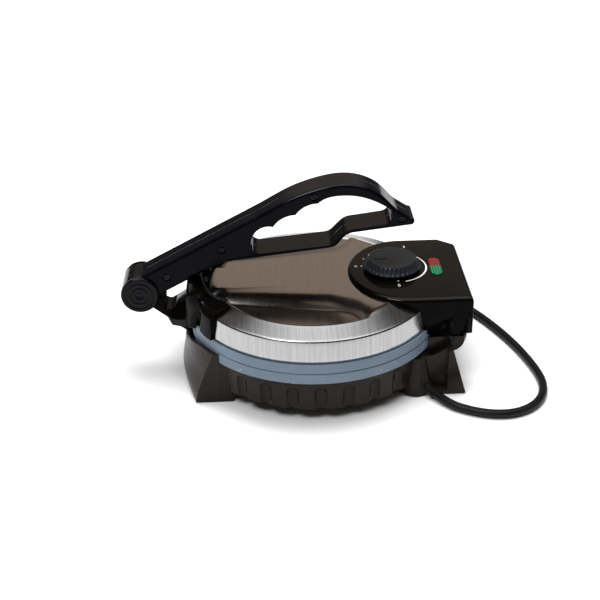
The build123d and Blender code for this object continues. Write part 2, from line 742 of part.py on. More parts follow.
with BuildPart() as knob:
    with BuildSketch(Plane.XZ.offset(0)):
        with BuildLine():
            Polyline((knob_x, knob_low_z), (knob_x + knob_skirt_r, knob_low_z),
                     (knob_x + knob_skirt_r, knob_low_z + knob_skirt_t - 0.8),
                     (knob_x + knob_skirt_r - 0.8, knob_low_z + knob_skirt_t),
                     (knob_x + knob_low_r, knob_low_z + knob_skirt_t + 0.3),
                     (knob_x + knob_top_r, knob_top_z - 1.2), (knob_x + knob_top_r - 1.2, knob_top_z),
                     (knob_x + knob_top_r - 5, knob_top_z), (knob_x + knob_top_r - 6, knob_top_z - 0.8),
                     (knob_x, knob_top_z - 0.8), close=True)
        make_face()
    revolve(axis=Axis((knob_x, 0, 0), (0, 0, 1)))
    with BuildSketch(Plane.XY.offset(knob_low_z + knob_skirt_t + 0.6)):
        with Locations((knob_x, 0)):
            with PolarLocations((knob_low_r + knob_top_r) / 2 + 0.2, knob_grooves):
                Circle(knob_groove_r)
    extrude(amount=knob_top_z, mode=Mode.SUBTRACT)
    add(spindle_section(knob_low_z, still_fit))
    extrude(amount=spindle_top_z + 0.1 - knob_low_z, mode=Mode.SUBTRACT)
knob.part.label = "knob"

# ---- Handle ----
handle_screw_spots = [(-120.1, 88.2), (-74.4, 110.8), (0.6, 154.5), (70.2, 133.2)]
counterbore_y = handle_y - head_t
pivot_plane = Plane((pivot_x, 0, pivot_z), z_dir=(0, 1, 0))


def arm_under(x):
    # Height of the straight underside of the handle's arm.
    return 75.0 + 0.5338 * (x + 121.5)


with BuildSketch(Plane.XZ) as handle_outline:
    with BuildLine():
        arm_top = Line((-141, 88.8), (-46.5, 138.3))
        arch = Spline(arm_top @ 1, (-18.5, 153.6), (5, 161.7), (24, 164.4), (41, 161.4), (55, 152.8), (67, 140.5),
                      tangents=[arm_top % 1, (0.8, -0.6)])
        tip = ThreePointArc((77, 133.8), (80.6, 130.3), (77, 127.5))
        Line(arch @ 1, tip @ 0)
        under_tip = Line(tip @ 1, (33, 122.4))
        dip = Spline(under_tip @ 1, (26, 120.2), (18, 111.6), (9.6, 108.9),
                     tangents=[under_tip % 1, (-0.993, -0.115)])
        Polyline(dip @ 1, (-75.6, arm_under(-75.6)), (-130, arm_under(-130)), arm_top @ 0)
    make_face()
    with Locations((pivot_x, pivot_z)):
        Circle(barrel_r)
    with BuildLine():
        bar_top = Line((-43, 106.9), (9.6, 112))
        rise = Spline(bar_top @ 1, (17, 116.2), (26.5, 124.6), (35, 126.2), tangents=[bar_top % 1, (0.993, 0.115)])
        far_bar = Line(rise @ 1, (56, 129))
        loop_end = ThreePointArc(far_bar @ 1, (62.5, 135.5), (59.4, 142.9))
        roof = Spline(loop_end @ 1, (43.2, 151.7), (32, 154.6), (21, 155.1), (10, 153.2), (3.3, 149.1))
        notch_1 = ThreePointArc(roof @ 1, (-7.3, 146.4), (-14.7, 139.8))
        notch_2 = ThreePointArc(notch_1 @ 1, (-26, 136.6), (-32.7, 130))
        notch_3 = ThreePointArc(notch_2 @ 1, (-44.4, 128.1), (-49.8, 120.4))
        ThreePointArc(notch_3 @ 1, (-50.6, 111.8), bar_top @ 0)
    make_face(mode=Mode.SUBTRACT)


def handle_half(near):
    side = -1 if near else 1
    with BuildPart() as half:
        extrude(handle_outline.sketch, amount=handle_y, dir=(0, side, 0))
        flank = half.faces().sort_by(Axis.Y)[0 if near else -1]
        fillet(flank.outer_wire().edges(), handle_round)
        with Locations(pivot_plane.location):
            Cylinder(barrel_r + knuckle_gap, 2 * (knuckle_y + 0.4), mode=Mode.SUBTRACT)
            Cylinder(pivot_pin_r + still_fit, 4 * handle_y, mode=Mode.SUBTRACT)
        for x, z in handle_screw_spots:
            seat = Plane((x, -counterbore_y, z), z_dir=(0, -1, 0))
            with Locations(seat.location):
                Cylinder(hole_r, counterbore_y + handle_y * 0.65, align=(Align.CENTER, Align.CENTER, Align.MAX),
                         mode=Mode.SUBTRACT)
                Cylinder(head_r + 0.3, head_t + 1, align=(Align.CENTER, Align.CENTER, Align.MIN),
                         mode=Mode.SUBTRACT)
    return half


handle_near_half = handle_half(near=True)
handle_near_half.part.label = "handle_near_half"
handle_far_half = handle_half(near=False)
handle_far_half.part.label = "handle_far_half"

handle_screws = screws([Plane((x, -counterbore_y, z), z_dir=(0, -1, 0)) for x, z in handle_screw_spots],
                       counterbore_y + handle_y * 0.6)
handle_screws.part.label = "handle_screws"

cap_seats = [Plane((pivot_x, side * (barrel_y + 1), pivot_z), z_dir=(0, side, 0)) for side in (-1, 1)]

with BuildPart() as pivot_pin:
    with Locations(pivot_plane.location):
        Cylinder(pivot_pin_r, 2 * barrel_y - 0.4)
    add(screw_holes(cap_seats, 10), mode=Mode.SUBTRACT)
pivot_pin.part.label = "pivot_pin"

with BuildPart() as barrel_caps:
    for seat in cap_seats:
        inner_face = Plane(seat.origin - seat.z_dir, z_dir=seat.z_dir)
        with BuildSketch(inner_face):
            Circle(barrel_r)
        extrude(amount=barrel_cap_t)
    fillet(barrel_caps.edges().filter_by(GeomType.CIRCLE).filter_by(
        lambda e: abs(e.center().Y) > barrel_y + 1), 1.2)
    for seat in cap_seats:
        with BuildSketch(Plane(seat.origin + seat.z_dir * (barrel_cap_t - 1.8), z_dir=seat.z_dir)):
            Circle(12.2)
            Circle(10.4, mode=Mode.SUBTRACT)
            Circle(7.6)
            Circle(6.4, mode=Mode.SUBTRACT)
        extrude(amount=2, mode=Mode.SUBTRACT)
        with BuildSketch(seat):
            Circle(head_r + 0.3)
        extrude(amount=barrel_cap_t, mode=Mode.SUBTRACT)
    add(screw_holes(cap_seats, 10), mode=Mode.SUBTRACT)
barrel_caps.part.label = "barrel_caps"

cap_screws = screws(cap_seats, 8)
cap_screws.part.label = "cap_screws"

# ---- Front bracket: carries the handle's pivot on the lid ----
with BuildPart() as collar:
    add(lid_form(-(seat_gap + bracket_t), upper_rim_high + seat_gap))
    reach = 2 * plate_r
    slope = tan(radians(strap_angles[1]))
    with BuildSketch(Plane.XY.offset(housing_low_z)):
        with BuildLine():
            Polyline((0, 0), (-reach, -reach * slope), (-reach, reach * slope), close=True)
        make_face()
        Circle(collar_inner_r, mode=Mode.SUBTRACT)
    extrude(amount=2 * lid_edge_z, mode=Mode.INTERSECT)
    add(lid_seat, mode=Mode.SUBTRACT)
    with BuildSketch(Plane.XY.offset(housing_low_z)):
        for side in (-1, 1):
            with BuildLine():
                Polyline((0, 0), (-reach, side * reach * tan(radians(strap_angles[0]))),
                         (-reach, side * reach * 0.2), close=True)
            make_face()
    extrude(amount=lid_edge_z - 2.5 - housing_low_z, mode=Mode.SUBTRACT)
    with BuildSketch(Plane.XY.offset(housing_low_z)):
        with Locations((-94 + 25, 0)):
            RectangleRounded(50, 2 * window_y, 12)
    extrude(amount=2 * lid_edge_z, mode=Mode.SUBTRACT)

with BuildPart() as scoop:
    with BuildSketch(Plane.XY.offset(40)):
        with BuildLine():
            Polyline((-84, -bracket_y), (-123.6, -bracket_nose_y), (-123.6, bracket_nose_y), (-84, bracket_y),
                     close=True)
        make_face()
    extrude(amount=60)
    with BuildSketch(Plane.XZ.offset(-2 * bracket_y)):
        with BuildLine():
            Polyline((-124, 64.8), (-118.3, 51.5), (-116, 50.2), (-90, 50.2), (-90, 80.8), (-102.7, 80.8),
                     (-117, 73.6), close=True)
        make_face()
    extrude(amount=4 * bracket_y, mode=Mode.INTERSECT)
    fillet(scoop.edges().filter_by(lambda e: e.center().X < -98), 2.0)
    add(lid_seat, mode=Mode.SUBTRACT)
    Cylinder(plate_room_r, 2 * (upper_rim_high + seat_gap), mode=Mode.SUBTRACT)
    with BuildSketch(Plane.XY.offset(housing_low_z)):
        with Locations((-94 + 25, 0)):
            RectangleRounded(50, 2 * window_y, 12)
    extrude(amount=2 * lid_edge_z, mode=Mode.SUBTRACT)

with BuildPart() as front_bracket:
    add(collar.part)
    add(scoop.part)
    # Rest under the handle's arm.
    with BuildSketch(Plane.XZ.offset(-9)):
        with BuildLine():
            Polyline((-104, 76), (-95, 76), (-95, arm_under(-95) - 0.35), (-104, arm_under(-104) - 0.35),
                     close=True)
        make_face()
    extrude(amount=18)
    # Tongue that braces the pivot from below.
    with BuildSketch(Plane.XZ.offset(-12)):
        with BuildLine():
            Polyline((-135, 61), (-124, 52), (-115, 43.5), (-106.5, 37), (-105, 37), (-105, 52), (-116, 56),
                     (-124, 66), close=True)
        make_face()
    extrude(amount=24)
    with Locations(pivot_plane.location):
        Cylinder(barrel_r + 0.6, 30, mode=Mode.SUBTRACT)
    with BuildSketch(Plane.XZ.offset(-knuckle_y)):
        with Locations((pivot_x, pivot_z)):
            Circle(barrel_r)
        with BuildLine():
            Polyline((-139, 59), (-120, 52), (-112, 56), (-112, 73), (-128, 70.6), (-134, 75), close=True)
        make_face()
    extrude(amount=2 * knuckle_y)
    with Locations(pivot_plane.location):
        Cylinder(pivot_pin_r + pin_fit, 30, mode=Mode.SUBTRACT)
    add(screw_holes(bracket_screw_seats, 18), mode=Mode.SUBTRACT)
front_bracket.part.label = "front_bracket"

bracket_screws = screws(bracket_screw_seats, 16)
bracket_screws.part.label = "bracket_screws"

# ---- Mains lead ----
relief_end = exit_point + exit_way * relief_out
floor_z = cord_r + cord_floor
lead_points = [relief_end, relief_end + exit_way * 16, (116.5, -95.5, floor_z), (133, -102, floor_z),
               (151, -102.5, floor_z), (166.5, -95, floor_z), (177.5, -82, floor_z), (183, -66, floor_z),
               (183.5, -46, floor_z), (177, -12, floor_z), (166, 22, floor_z), (151, 56, floor_z),
               (132.5, 86, floor_z), (112, 113, floor_z), (92, 137.5, floor_z), (74, 159, floor_z),
               (62, 172, floor_z)]
coil_middle = (24.0, 152.0)
coil_r = 38.0
coil_layers = 2
coil_columns = 2


def corner_radii(points):
    # Each corner's arc is as large as its two runs allow.
    points = [Vector(*p) if isinstance(p, tuple) else p for p in points]
    radii = []
    for before, corner, after in zip(points, points[1:], points[2:]):
        turn = radians((corner - before).get_angle(after - corner))
        shorter = min((corner - before).length, (after - corner).length)
        radii.append(0.45 * shorter / tan(turn / 2))
    return radii


lead_radii = corner_radii(lead_points)
print("lead radii", [round(r) for r in lead_radii])

with BuildLine() as lead_line:
    FilletPolyline(*lead_points, radius=lead_radii)
lead_path = lead_line.wires()[0]

with BuildPart() as power_cord:
    with BuildSketch(Plane(relief_end, z_dir=lead_path % 0)):
        Circle(cord_r)
    sweep(path=lead_path)
power_cord.part.label = "power_cord"
print("lead length", round(lead_path.length), "volume share",
      round(power_cord.part.volume / (pi * cord_r ** 2 * lead_path.length), 4))

coil_outer_r = coil_r + coil_columns * cord_r
coil_height = coil_layers * 2 * cord_r
with BuildPart() as cord_coil:
    with Locations((*coil_middle, cord_floor)):
        Cylinder(coil_outer_r, coil_height, align=(Align.CENTER, Align.CENTER, Align.MIN))
        Cylinder(coil_r - coil_columns * cord_r, coil_height, align=(Align.CENTER, Align.CENTER, Align.MIN),
                 mode=Mode.SUBTRACT)
cord_coil.part.label = "cord_coil"

with BuildPart() as strain_relief:
    # Tapered sleeve with a collar inside the wall.
    with BuildSketch(Plane(exit_point - exit_way * relief_in, z_dir=exit_way)):
        Circle(relief_big_r)
    with BuildSketch(Plane(relief_end, z_dir=exit_way)):
        Circle(relief_small_r)
    loft()
strain_relief.part.label = "strain_relief"

plug_length = 32.0
plug_width = 35.0
plug_height = 16.0
plug_neck_width = 17.0
plug_neck_height = 12.0
plug_tail_length = 12.0
plug_tail_r = (5.2, 4.2)
plug_pin_r = 2.0           # three pins for 10 A, the earth pin off the line of the others
plug_pin_spacing = 19.0
plug_earth_drop = 3.0
plug_pin_length = 19.0
plug_low_z = cord_floor + coil_height
plug_face_y = 130.0
plug_mid_z = plug_low_z + plug_height / 2
plug_x = coil_middle[0] - coil_r


def plug_section(y, width, height):
    with BuildSketch(Plane((plug_x, y, plug_mid_z), x_dir=(1, 0, 0), z_dir=(0, 1, 0))) as section:
        RectangleRounded(width, height, height * 0.42)
    return section.sketch


with BuildPart() as plug_body:
    # Full at the pins, waisted for the grip, and a tapered sleeve at the tail.
    loft([plug_section(plug_face_y, plug_width, plug_height),
          plug_section(plug_face_y + plug_length * 0.3, plug_width, plug_height),
          plug_section(plug_face_y + plug_length, plug_neck_width, plug_neck_height)], ruled=True)
    for place, radius in zip((plug_length - 1, plug_length + plug_tail_length), plug_tail_r):
        with BuildSketch(Plane((plug_x, plug_face_y + place, plug_mid_z), z_dir=(0, 1, 0))):
            Circle(radius)
    loft()
plug_body.part.label = "plug_body"

with BuildPart() as plug_pins:
    for shift, drop in ((-plug_pin_spacing / 2, 0), (plug_pin_spacing / 2, 0), (0, plug_earth_drop)):
        with Locations(Plane((plug_x + shift, plug_face_y, plug_mid_z - drop), z_dir=(0, -1, 0)).location):
            Cylinder(plug_pin_r, plug_pin_length, align=(Align.CENTER, Align.CENTER, Align.MIN))
plug_pins.part.label = "plug_pins"

with BuildPart() as terminal_block:
    # Stands on the bottom cover, beside the lead's entry.
    with Locations((52, -38, cover_top_z)):
        Box(24, 12, 9, align=(Align.CENTER, Align.CENTER, Align.MIN))
    with Locations((52 - 7, -38, cover_top_z + 9), (52, -38, cover_top_z + 9), (52 + 7, -38, cover_top_z + 9)):
        Cylinder(2.2, 6, mode=Mode.SUBTRACT)
terminal_block.part.label = "terminal_block"

# ---- Files ----
pieces = [
    base_housing, bottom_cover, cover_screws, rubber_feet, lower_plate, lower_plate_screws, lower_element,
    lower_reflector, hinge_pin, terminal_block, strain_relief, power_cord, cord_coil, plug_body, plug_pins,
    lid_shell, upper_plate, upper_plate_screws, upper_element, upper_reflector, control_housing, housing_plate,
    hinge_bracket, hinge_bracket_screws, thermostat, red_lens, green_lens, indicator_lamps, front_bracket,
    bracket_screws, knob, thermostat_shaft, handle_near_half, handle_far_half, handle_screws, pivot_pin,
    barrel_caps, cap_screws,
]
os.makedirs("parts", exist_ok=True)
for piece in pieces:
    name = piece.part.label
    piece.part.locate(Pos(row_x, 0, 0))
    export_step(piece.part, f"parts/{name}.step")
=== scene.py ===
import bpy
import json
import numpy as np
from math import cos, pi, radians, sin
from mathutils import Matrix, Vector


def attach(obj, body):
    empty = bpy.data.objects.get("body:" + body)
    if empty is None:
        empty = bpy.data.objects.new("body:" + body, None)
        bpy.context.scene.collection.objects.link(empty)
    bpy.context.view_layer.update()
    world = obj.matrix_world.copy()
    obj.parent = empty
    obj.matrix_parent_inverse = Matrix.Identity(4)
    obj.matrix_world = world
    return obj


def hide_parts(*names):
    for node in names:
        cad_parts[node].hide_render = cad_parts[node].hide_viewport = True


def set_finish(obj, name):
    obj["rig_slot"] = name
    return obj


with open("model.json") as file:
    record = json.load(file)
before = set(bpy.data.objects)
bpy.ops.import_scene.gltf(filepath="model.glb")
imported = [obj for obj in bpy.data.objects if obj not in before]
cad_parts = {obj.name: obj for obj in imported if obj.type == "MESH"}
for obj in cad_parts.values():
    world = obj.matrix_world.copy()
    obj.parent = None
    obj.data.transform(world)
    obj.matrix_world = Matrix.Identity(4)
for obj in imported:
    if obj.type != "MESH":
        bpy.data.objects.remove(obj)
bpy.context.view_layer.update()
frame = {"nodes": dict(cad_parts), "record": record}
print("frame loaded:", len(frame["nodes"]), "nodes")

discX = 17.2                                   # the plates' axis lies this far from the middle, in mm


def toRow(points):                             # millimetres about the plates' axis to metres in the row frame
    return (np.asarray(points, float) + np.array([discX, 0.0, 0.0])) / 1000.0


# Camera and the mains lead
view = {"azimuth": -1.6, "elevation": 28.5, "roll": -1.2, "lens": 69.0,
        "place": (-0.01846, -0.84602, 0.51524)}


def setCamera():
    a, e, r = (radians(view[k]) for k in ("azimuth", "elevation", "roll"))
    right = Vector((cos(a), sin(a), 0))
    back = Vector((sin(a) * cos(e), -cos(a) * cos(e), sin(e)))
    up = back.cross(right)
    turned = right * cos(r) + up * sin(r)
    camera = bpy.data.objects.new("camera", bpy.data.cameras.new("camera"))
    camera.data.lens = view["lens"]
    camera.data.sensor_width = 36.0
    camera.data.clip_end = 20.0
    camera.matrix_world = Matrix.Translation(view["place"]) @ Matrix((turned, back.cross(turned), back)).transposed().to_4x4()
    bpy.context.scene.collection.objects.link(camera)
    bpy.context.scene.camera = camera


setCamera()

lead = {"diameter": 0.007, "exit": (0.0997, -0.0555, 0.0063), "length": 1.2,
        "coilMiddle": (0.0412, 0.152), "coilR": (0.0345, 0.0415), "layerZ": (0.00365, 0.01065),
        "pointsPerTurn": 20, "turns": 3.08, "joinAngle": 40.0, "plugZ": 0.02215, "plugEnd": (0.0032, 0.174),
        "rise": [(0.0457, 0.19496, 0.0108), (0.0350, 0.19607, 0.0120), (0.02427, 0.1939, 0.0142), (0.01522, 0.1891, 0.0170),
                 (0.00858, 0.1824, 0.0196), (0.0047, 0.1744, 0.0216)]}
leadRoute = [
    (0.10822, -0.06901, 0.00533), (0.11888, -0.08589, 0.00413), (0.1337, -0.0955, 0.00365),
    (0.1502, -0.1020, 0.00365), (0.1682, -0.1025, 0.00365), (0.1837, -0.0950, 0.00365),
    (0.1947, -0.0820, 0.00365), (0.2002, -0.0660, 0.00365), (0.2007, -0.0460, 0.00365),
    (0.1942, -0.0120, 0.00365), (0.1832, 0.0220, 0.00365), (0.1682, 0.0560, 0.00365),
    (0.1497, 0.0860, 0.00365), (0.1292, 0.1130, 0.00365), (0.1092, 0.1375, 0.00365),
    (0.0912, 0.1590, 0.00365),
]


def coilPoints():
    # four turns: outer low, inner low, inner high, outer high; each change is made over the same short arc
    n = lead["pointsPerTurn"]
    inner, outer = lead["coilR"]
    low, high = lead["layerZ"]
    turn = np.arange(0, int(lead["turns"] * n)) / n
    step = 0.12
    toInner = np.clip((turn - 0.97) / step, 0, 1)
    rise = np.clip((turn - 1.94) / step, 0, 1)
    toOuter = np.clip((turn - 2.91) / step, 0, 1)
    radius = outer - (outer - inner) * (toInner - toOuter)
    z = low + (high - low) * rise
    angle = radians(lead["joinAngle"]) + 2 * pi * turn
    mx, my = lead["coilMiddle"]
    return np.stack([mx + radius * np.cos(angle), my + radius * np.sin(angle), z], 1)


def layLead():
    px, py = lead["plugEnd"]
    points = leadRoute + [tuple(p) for p in coilPoints()]
    curve = bpy.data.curves.new("mainsLead", "CURVE")
    curve.dimensions = "3D"
    curve.bevel_depth = 1.0                    # the points' radius gives the lead its thickness
    curve.bevel_resolution = 5
    curve.resolution_u = 6
    curve.use_fill_caps = True
    points += lead["rise"] + [(px + 0.0001, py - 0.007, lead["plugZ"])]
    spline = curve.splines.new("NURBS")
    spline.points.add(len(points) - 1)
    for point, place in zip(spline.points, points):
        point.co = (*place, 1.0)
        point.radius = lead["diameter"] / 2
    spline.order_u = 3
    spline.use_endpoint_u = True
    cable = bpy.data.objects.new("mainsLead", curve)
    bpy.context.scene.collection.objects.link(cable)
    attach(cable, "base")
    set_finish(cable, "cord_pvc")
    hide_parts("power_cord", "cord_coil")
    return cable


mainsLead = layLead()
print("camera set, mains lead laid")


# Meshes from surface functions
def gridMesh(name, points, body, slot, around=True, keep=None, smooth=True):
    # points is rows x columns x 3, in mm; the columns close on themselves when around is true
    rows, columns = points.shape[:2]
    index = np.arange(rows * columns).reshape(rows, columns)
    right = np.roll(index, -1, 1) if around else index[:, 1:]
    left = index if around else index[:, :-1]
    quads = np.stack([left[:-1], right[:-1], right[1:], left[1:]], -1).reshape(-1, 4)
    if keep is not None:
        quads = quads[keep(points.reshape(-1, 3)[quads])]
    return makeMesh(name, points.reshape(-1, 3), quads, body, slot, smooth)


def makeMesh(name, points, faces, body, slot, smooth=True, weld=1e-7):
    import bmesh
    mesh = bpy.data.meshes.new(name)
    mesh.from_pydata(toRow(points).tolist(), [], faces.tolist())
    mesh.update()
    work = bmesh.new()
    work.from_mesh(mesh)
    bmesh.ops.remove_doubles(work, verts=work.verts, dist=weld)
    bmesh.ops.recalc_face_normals(work, faces=work.faces)
    work.to_mesh(mesh)
    work.free()
    mesh.polygons.foreach_set("use_smooth", np.full(len(mesh.polygons), smooth))
    piece = bpy.data.objects.new(name, mesh)
    bpy.context.scene.collection.objects.link(piece)
    if body:
        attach(piece, body)
        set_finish(piece, slot)
    return piece


def revolve(profile, turns, place, way):
    # profile is radius and height along the axis; the axis starts at place and runs along way
    way = np.array(way, float) / np.linalg.norm(way)
    side = np.cross(way, [0.0, 0.0, 1.0]) if abs(way[2]) < 0.9 else np.array([1.0, 0.0, 0.0])
    side = side / np.linalg.norm(side)
    other = np.cross(way, side)
    angle = 2 * pi * np.arange(turns) / turns
    profile = np.asarray(profile, float)
    r, h = profile[:, 0, None], profile[:, 1, None]
    return (np.asarray(place, float) + h[..., None] * way
            + (r * np.cos(angle))[..., None] * side + (r * np.sin(angle))[..., None] * other)


def softMin(a, b, k):                          # the lower of two heights, rounded over about k
    return (a + b - np.sqrt((a - b) ** 2 + k * k)) / 2


def softMax(a, b, k):
    return (a + b + np.sqrt((a - b) ** 2 + k * k)) / 2


def join(name, pieces, body, slot):
    bpy.ops.object.select_all(action="DESELECT")
    for piece in pieces:
        piece.select_set(True)
    bpy.context.view_layer.objects.active = pieces[0]
    bpy.ops.object.join()
    joined = bpy.context.view_layer.objects.active
    joined.name = name
    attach(joined, body)
    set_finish(joined, slot)
    return joined


# Shader nodes as expressions
class Wire:
    def __init__(self, finish, socket):
        self.finish = finish
        self.socket = socket

    def math(self, operation, other, swapped=False):
        pair = (other, self) if swapped else (self, other)
        return self.finish.node("ShaderNodeMath", {"operation": operation}, {0: pair[0], 1: pair[1]})

    def __add__(self, other):
        return self.math("ADD", other)

    def __sub__(self, other):
        return self.math("SUBTRACT", other)

    def __rsub__(self, other):
        return self.math("SUBTRACT", other, True)

    def __mul__(self, other):
        return self.math("MULTIPLY", other)

    def __truediv__(self, other):
        return self.math("DIVIDE", other)

    def __pow__(self, other):
        return self.math("POWER", other)

    __radd__ = __add__
    __rmul__ = __mul__


class Finish:
    def __init__(self, name):
        self.material = bpy.data.materials.new(name)
        self.material.use_nodes = True
        self.tree = self.material.node_tree
        self.tree.nodes.clear()

    def node(self, kind, settings=None, sockets=None, output=0):
        made = self.tree.nodes.new(kind)
        for key, value in (settings or {}).items():
            if key == "stops":
                for stop, (place, colour) in zip(made.color_ramp.elements, value):
                    stop.position, stop.color = place, colour
            else:
                setattr(made, key, value)
        for key, value in (sockets or {}).items():
            if isinstance(value, Wire):
                self.tree.links.new(value.socket, made.inputs[key])
            else:
                made.inputs[key].default_value = value
        return Wire(self, made.outputs[output]) if made.outputs else made

    def place(self):
        return self.node("ShaderNodeTexCoord", output="Object")

    def axes(self, vector):
        split = self.node("ShaderNodeSeparateXYZ", {}, {0: vector})
        return [Wire(self, out) for out in split.socket.node.outputs]

    def vector(self, x, y, z):
        return self.node("ShaderNodeCombineXYZ", {}, {0: x, 1: y, 2: z})

    def noise(self, vector, scale, detail=2.0, rough=0.5):
        return self.node("ShaderNodeTexNoise", {}, {"Vector": vector, "Scale": scale, "Detail": detail,
                                                    "Roughness": rough})

    def fit(self, value, low, high, newLow=0.0, newHigh=1.0):
        return self.node("ShaderNodeMapRange", {"clamp": True}, {0: value, 1: low, 2: high, 3: newLow, 4: newHigh})

    def mix(self, factor, first, second):
        made = self.tree.nodes.new("ShaderNodeMix")
        made.data_type = "RGBA"
        for socket, value in ((made.inputs[0], factor), (made.inputs[6], first), (made.inputs[7], second)):
            if isinstance(value, Wire):
                self.tree.links.new(value.socket, socket)
            else:
                socket.default_value = value
        return Wire(self, made.outputs[2])

    def bump(self, height, strength, distance, normal=None):
        sockets = {"Height": height, "Strength": strength, "Distance": distance}
        if normal:
            sockets["Normal"] = normal
        return self.node("ShaderNodeBump", {}, sockets)

    def roundEdges(self, radius):
        return self.node("ShaderNodeBevel", {"samples": 6}, {"Radius": radius})

    def surface(self, **sockets):
        names = {key: key for key in sockets}
        names.update(colour="Base Color", rough="Roughness", metal="Metallic", coat="Coat Weight",
                     coatRough="Coat Roughness", glow="Emission Color", glowStrength="Emission Strength",
                     normal="Normal", specular="Specular IOR Level", through="Transmission Weight", ior="IOR")
        shader = self.node("ShaderNodeBsdfPrincipled", {}, {names[k]: v for k, v in sockets.items()})
        self.node("ShaderNodeOutputMaterial", {}, {"Surface": shader})
        return self.material


def rgb(r, g, b):
    return (r, g, b, 1.0)


# Finishes
def mouldedPlastic(name, look):
    # polished tool marks, a fine grain, and a painted sheen: upward faces get more coat than the flanks
    f = Finish(name)
    where = f.place()
    cloud = f.noise(where, look["cloudScale"], 3.0)
    grain = f.noise(where, look["grainScale"], 2.0)
    smear = f.noise(f.node("ShaderNodeVectorMath", {"operation": "MULTIPLY"}, {0: where, 1: (1.0, 0.25, 0.6)}),
                    look["smearScale"], 4.0, 0.6)
    colour = f.mix(f.fit(cloud, 0.3, 0.7), rgb(*look["dark"]), rgb(*look["light"]))
    rough = f.fit(smear, 0.35, 0.7, look["rough"][0], look["rough"][1])
    soft = f.roundEdges(look["edge"])
    height = grain * 0.6 + cloud * look["wave"]
    tilt = f.axes(f.node("ShaderNodeTexCoord", output="Normal"))[2]
    paintedTopSheen = f.fit(tilt, 0.35, 0.9, look["coat"][0], look["coat"][1])      # painted sheen: tops get more coat and shine more than the flanks
    return f.surface(colour=colour, rough=rough, specular=look["specular"], coat=paintedTopSheen, coatRough=0.08,
                     normal=f.bump(height, look["bump"], 0.0002, soft))


# coat is the painted sheen's coat weight, on the flanks and on the tops
basePlastic = {"cloudScale": 22.0, "grainScale": 2600.0, "smearScale": 30.0, "dark": (0.0085, 0.0060, 0.0045),
               "light": (0.0150, 0.0108, 0.0082), "rough": (0.2, 0.34), "edge": 0.0006, "wave": 0.3,
               "specular": 0.16, "coat": (0.0, 0.15), "bump": 0.18}
housingPlastic = dict(basePlastic, dark=(0.0016, 0.0013, 0.0011), light=(0.0030, 0.0025, 0.002), rough=(0.1, 0.2),
                      specular=0.035, coat=(0.0, 0.36), bump=0.06)
handlePlastic = dict(basePlastic, dark=(0.0010, 0.0012, 0.0024), light=(0.0018, 0.0023, 0.0046), rough=(0.06, 0.14),
                     specular=0.04, coat=(0.03, 0.5), bump=0.04, edge=0.0010)
capPlastic = dict(handlePlastic, edge=0.0022, coat=(0.16, 0.5))
knobPlastic = dict(basePlastic, dark=(0.0125, 0.0145, 0.018), light=(0.020, 0.023, 0.028), rough=(0.3, 0.42), coat=(0.0, 0.0),
                   specular=0.3, bump=0.15, edge=0.0003)


def brushedSteel(name, look):
    # straight brush lines along Y; on the lid they are stronger outside the raised middle
    f = Finish(name)
    where = f.place()
    x, y, z = f.axes(where)
    fine = f.noise(f.vector(x * look["lineScale"], y * look["along"], z * look["along"]), 1.0, 3.0, 0.7)
    broad = f.noise(f.vector(x * look["lineScale"] * 0.16, y * look["along"] * 0.6, z * look["along"] * 0.6), 1.0, 2.0)
    smudge = f.noise(where, look["smudgeScale"], 3.0)
    lines = fine * 0.7 + broad * 0.3
    colour = f.mix(f.fit(lines, 0.3, 0.7), rgb(*look["dark"]), rgb(*look["light"]))
    rough = f.fit(lines * 0.8 + smudge * 0.2, 0.3, 0.7, look["rough"][0], look["rough"][1])
    height = lines
    if "streakDark" in look:
        far = f.node("ShaderNodeMath", {"operation": "SQRT"}, {0: (x - discX / 1000) ** 2.0 + y ** 2.0})
        outer = f.fit(far, 0.0800, 0.0822)
        height = lines * (outer * 0.85 + 0.15)
        streak = f.mix(f.fit(lines, 0.36, 0.64), rgb(*look["streakDark"]), rgb(*look["streakLight"]))
        colour = f.mix(outer, colour, streak)
    return f.surface(colour=colour, metal=1.0, rough=rough, normal=f.bump(height, look["bump"], 0.00006))


lidSteel = {"lineScale": 2900.0, "along": 26.0, "smudgeScale": 18.0, "dark": (0.49, 0.445, 0.405),
            "light": (0.565, 0.515, 0.475), "rough": (0.13, 0.22), "bump": 0.3, "streakDark": (0.34, 0.34, 0.345),
            "streakLight": (0.50, 0.50, 0.505)}
plainSteel = {"lineScale": 900.0, "along": 26.0, "smudgeScale": 18.0, "dark": (0.42, 0.42, 0.41),
              "light": (0.58, 0.58, 0.57), "rough": (0.26, 0.42), "bump": 0.22}


def coatedPlate(name, look):
    # bluish grey non-stick coating with light specks
    f = Finish(name)
    where = f.place()
    cloud = f.noise(where, 24.0, 3.0)
    specks = f.node("ShaderNodeTexVoronoi", {"feature": "F1"}, {"Vector": where, "Scale": look["speckScale"]})
    chance = f.noise(where, look["speckScale"] * 0.31, 1.0)
    x, y, z = f.axes(where)
    lower = f.fit(z, 0.0405, 0.0465, 1.0, 0.25)                             # the lower half carries more of them
    spot = f.fit(specks, 0.10, 0.2, 1.0, 0.0) * f.fit(chance, 0.52, 0.6) * lower
    ground = f.mix(f.fit(cloud, 0.3, 0.7), rgb(*look["dark"]), rgb(*look["light"]))
    colour = f.mix(spot, ground, rgb(*look["speck"]))
    orange = f.noise(where, 900.0, 2.0)
    return f.surface(colour=colour, rough=f.fit(cloud, 0.3, 0.7, 0.42, 0.55), specular=0.45,
                     normal=f.bump(orange, 0.25, 0.0001, f.roundEdges(0.0005)))


plateCoat = {"speckScale": 420.0, "dark": (0.125, 0.175, 0.235), "light": (0.16, 0.215, 0.285), "speck": (0.72, 0.8, 0.88)}


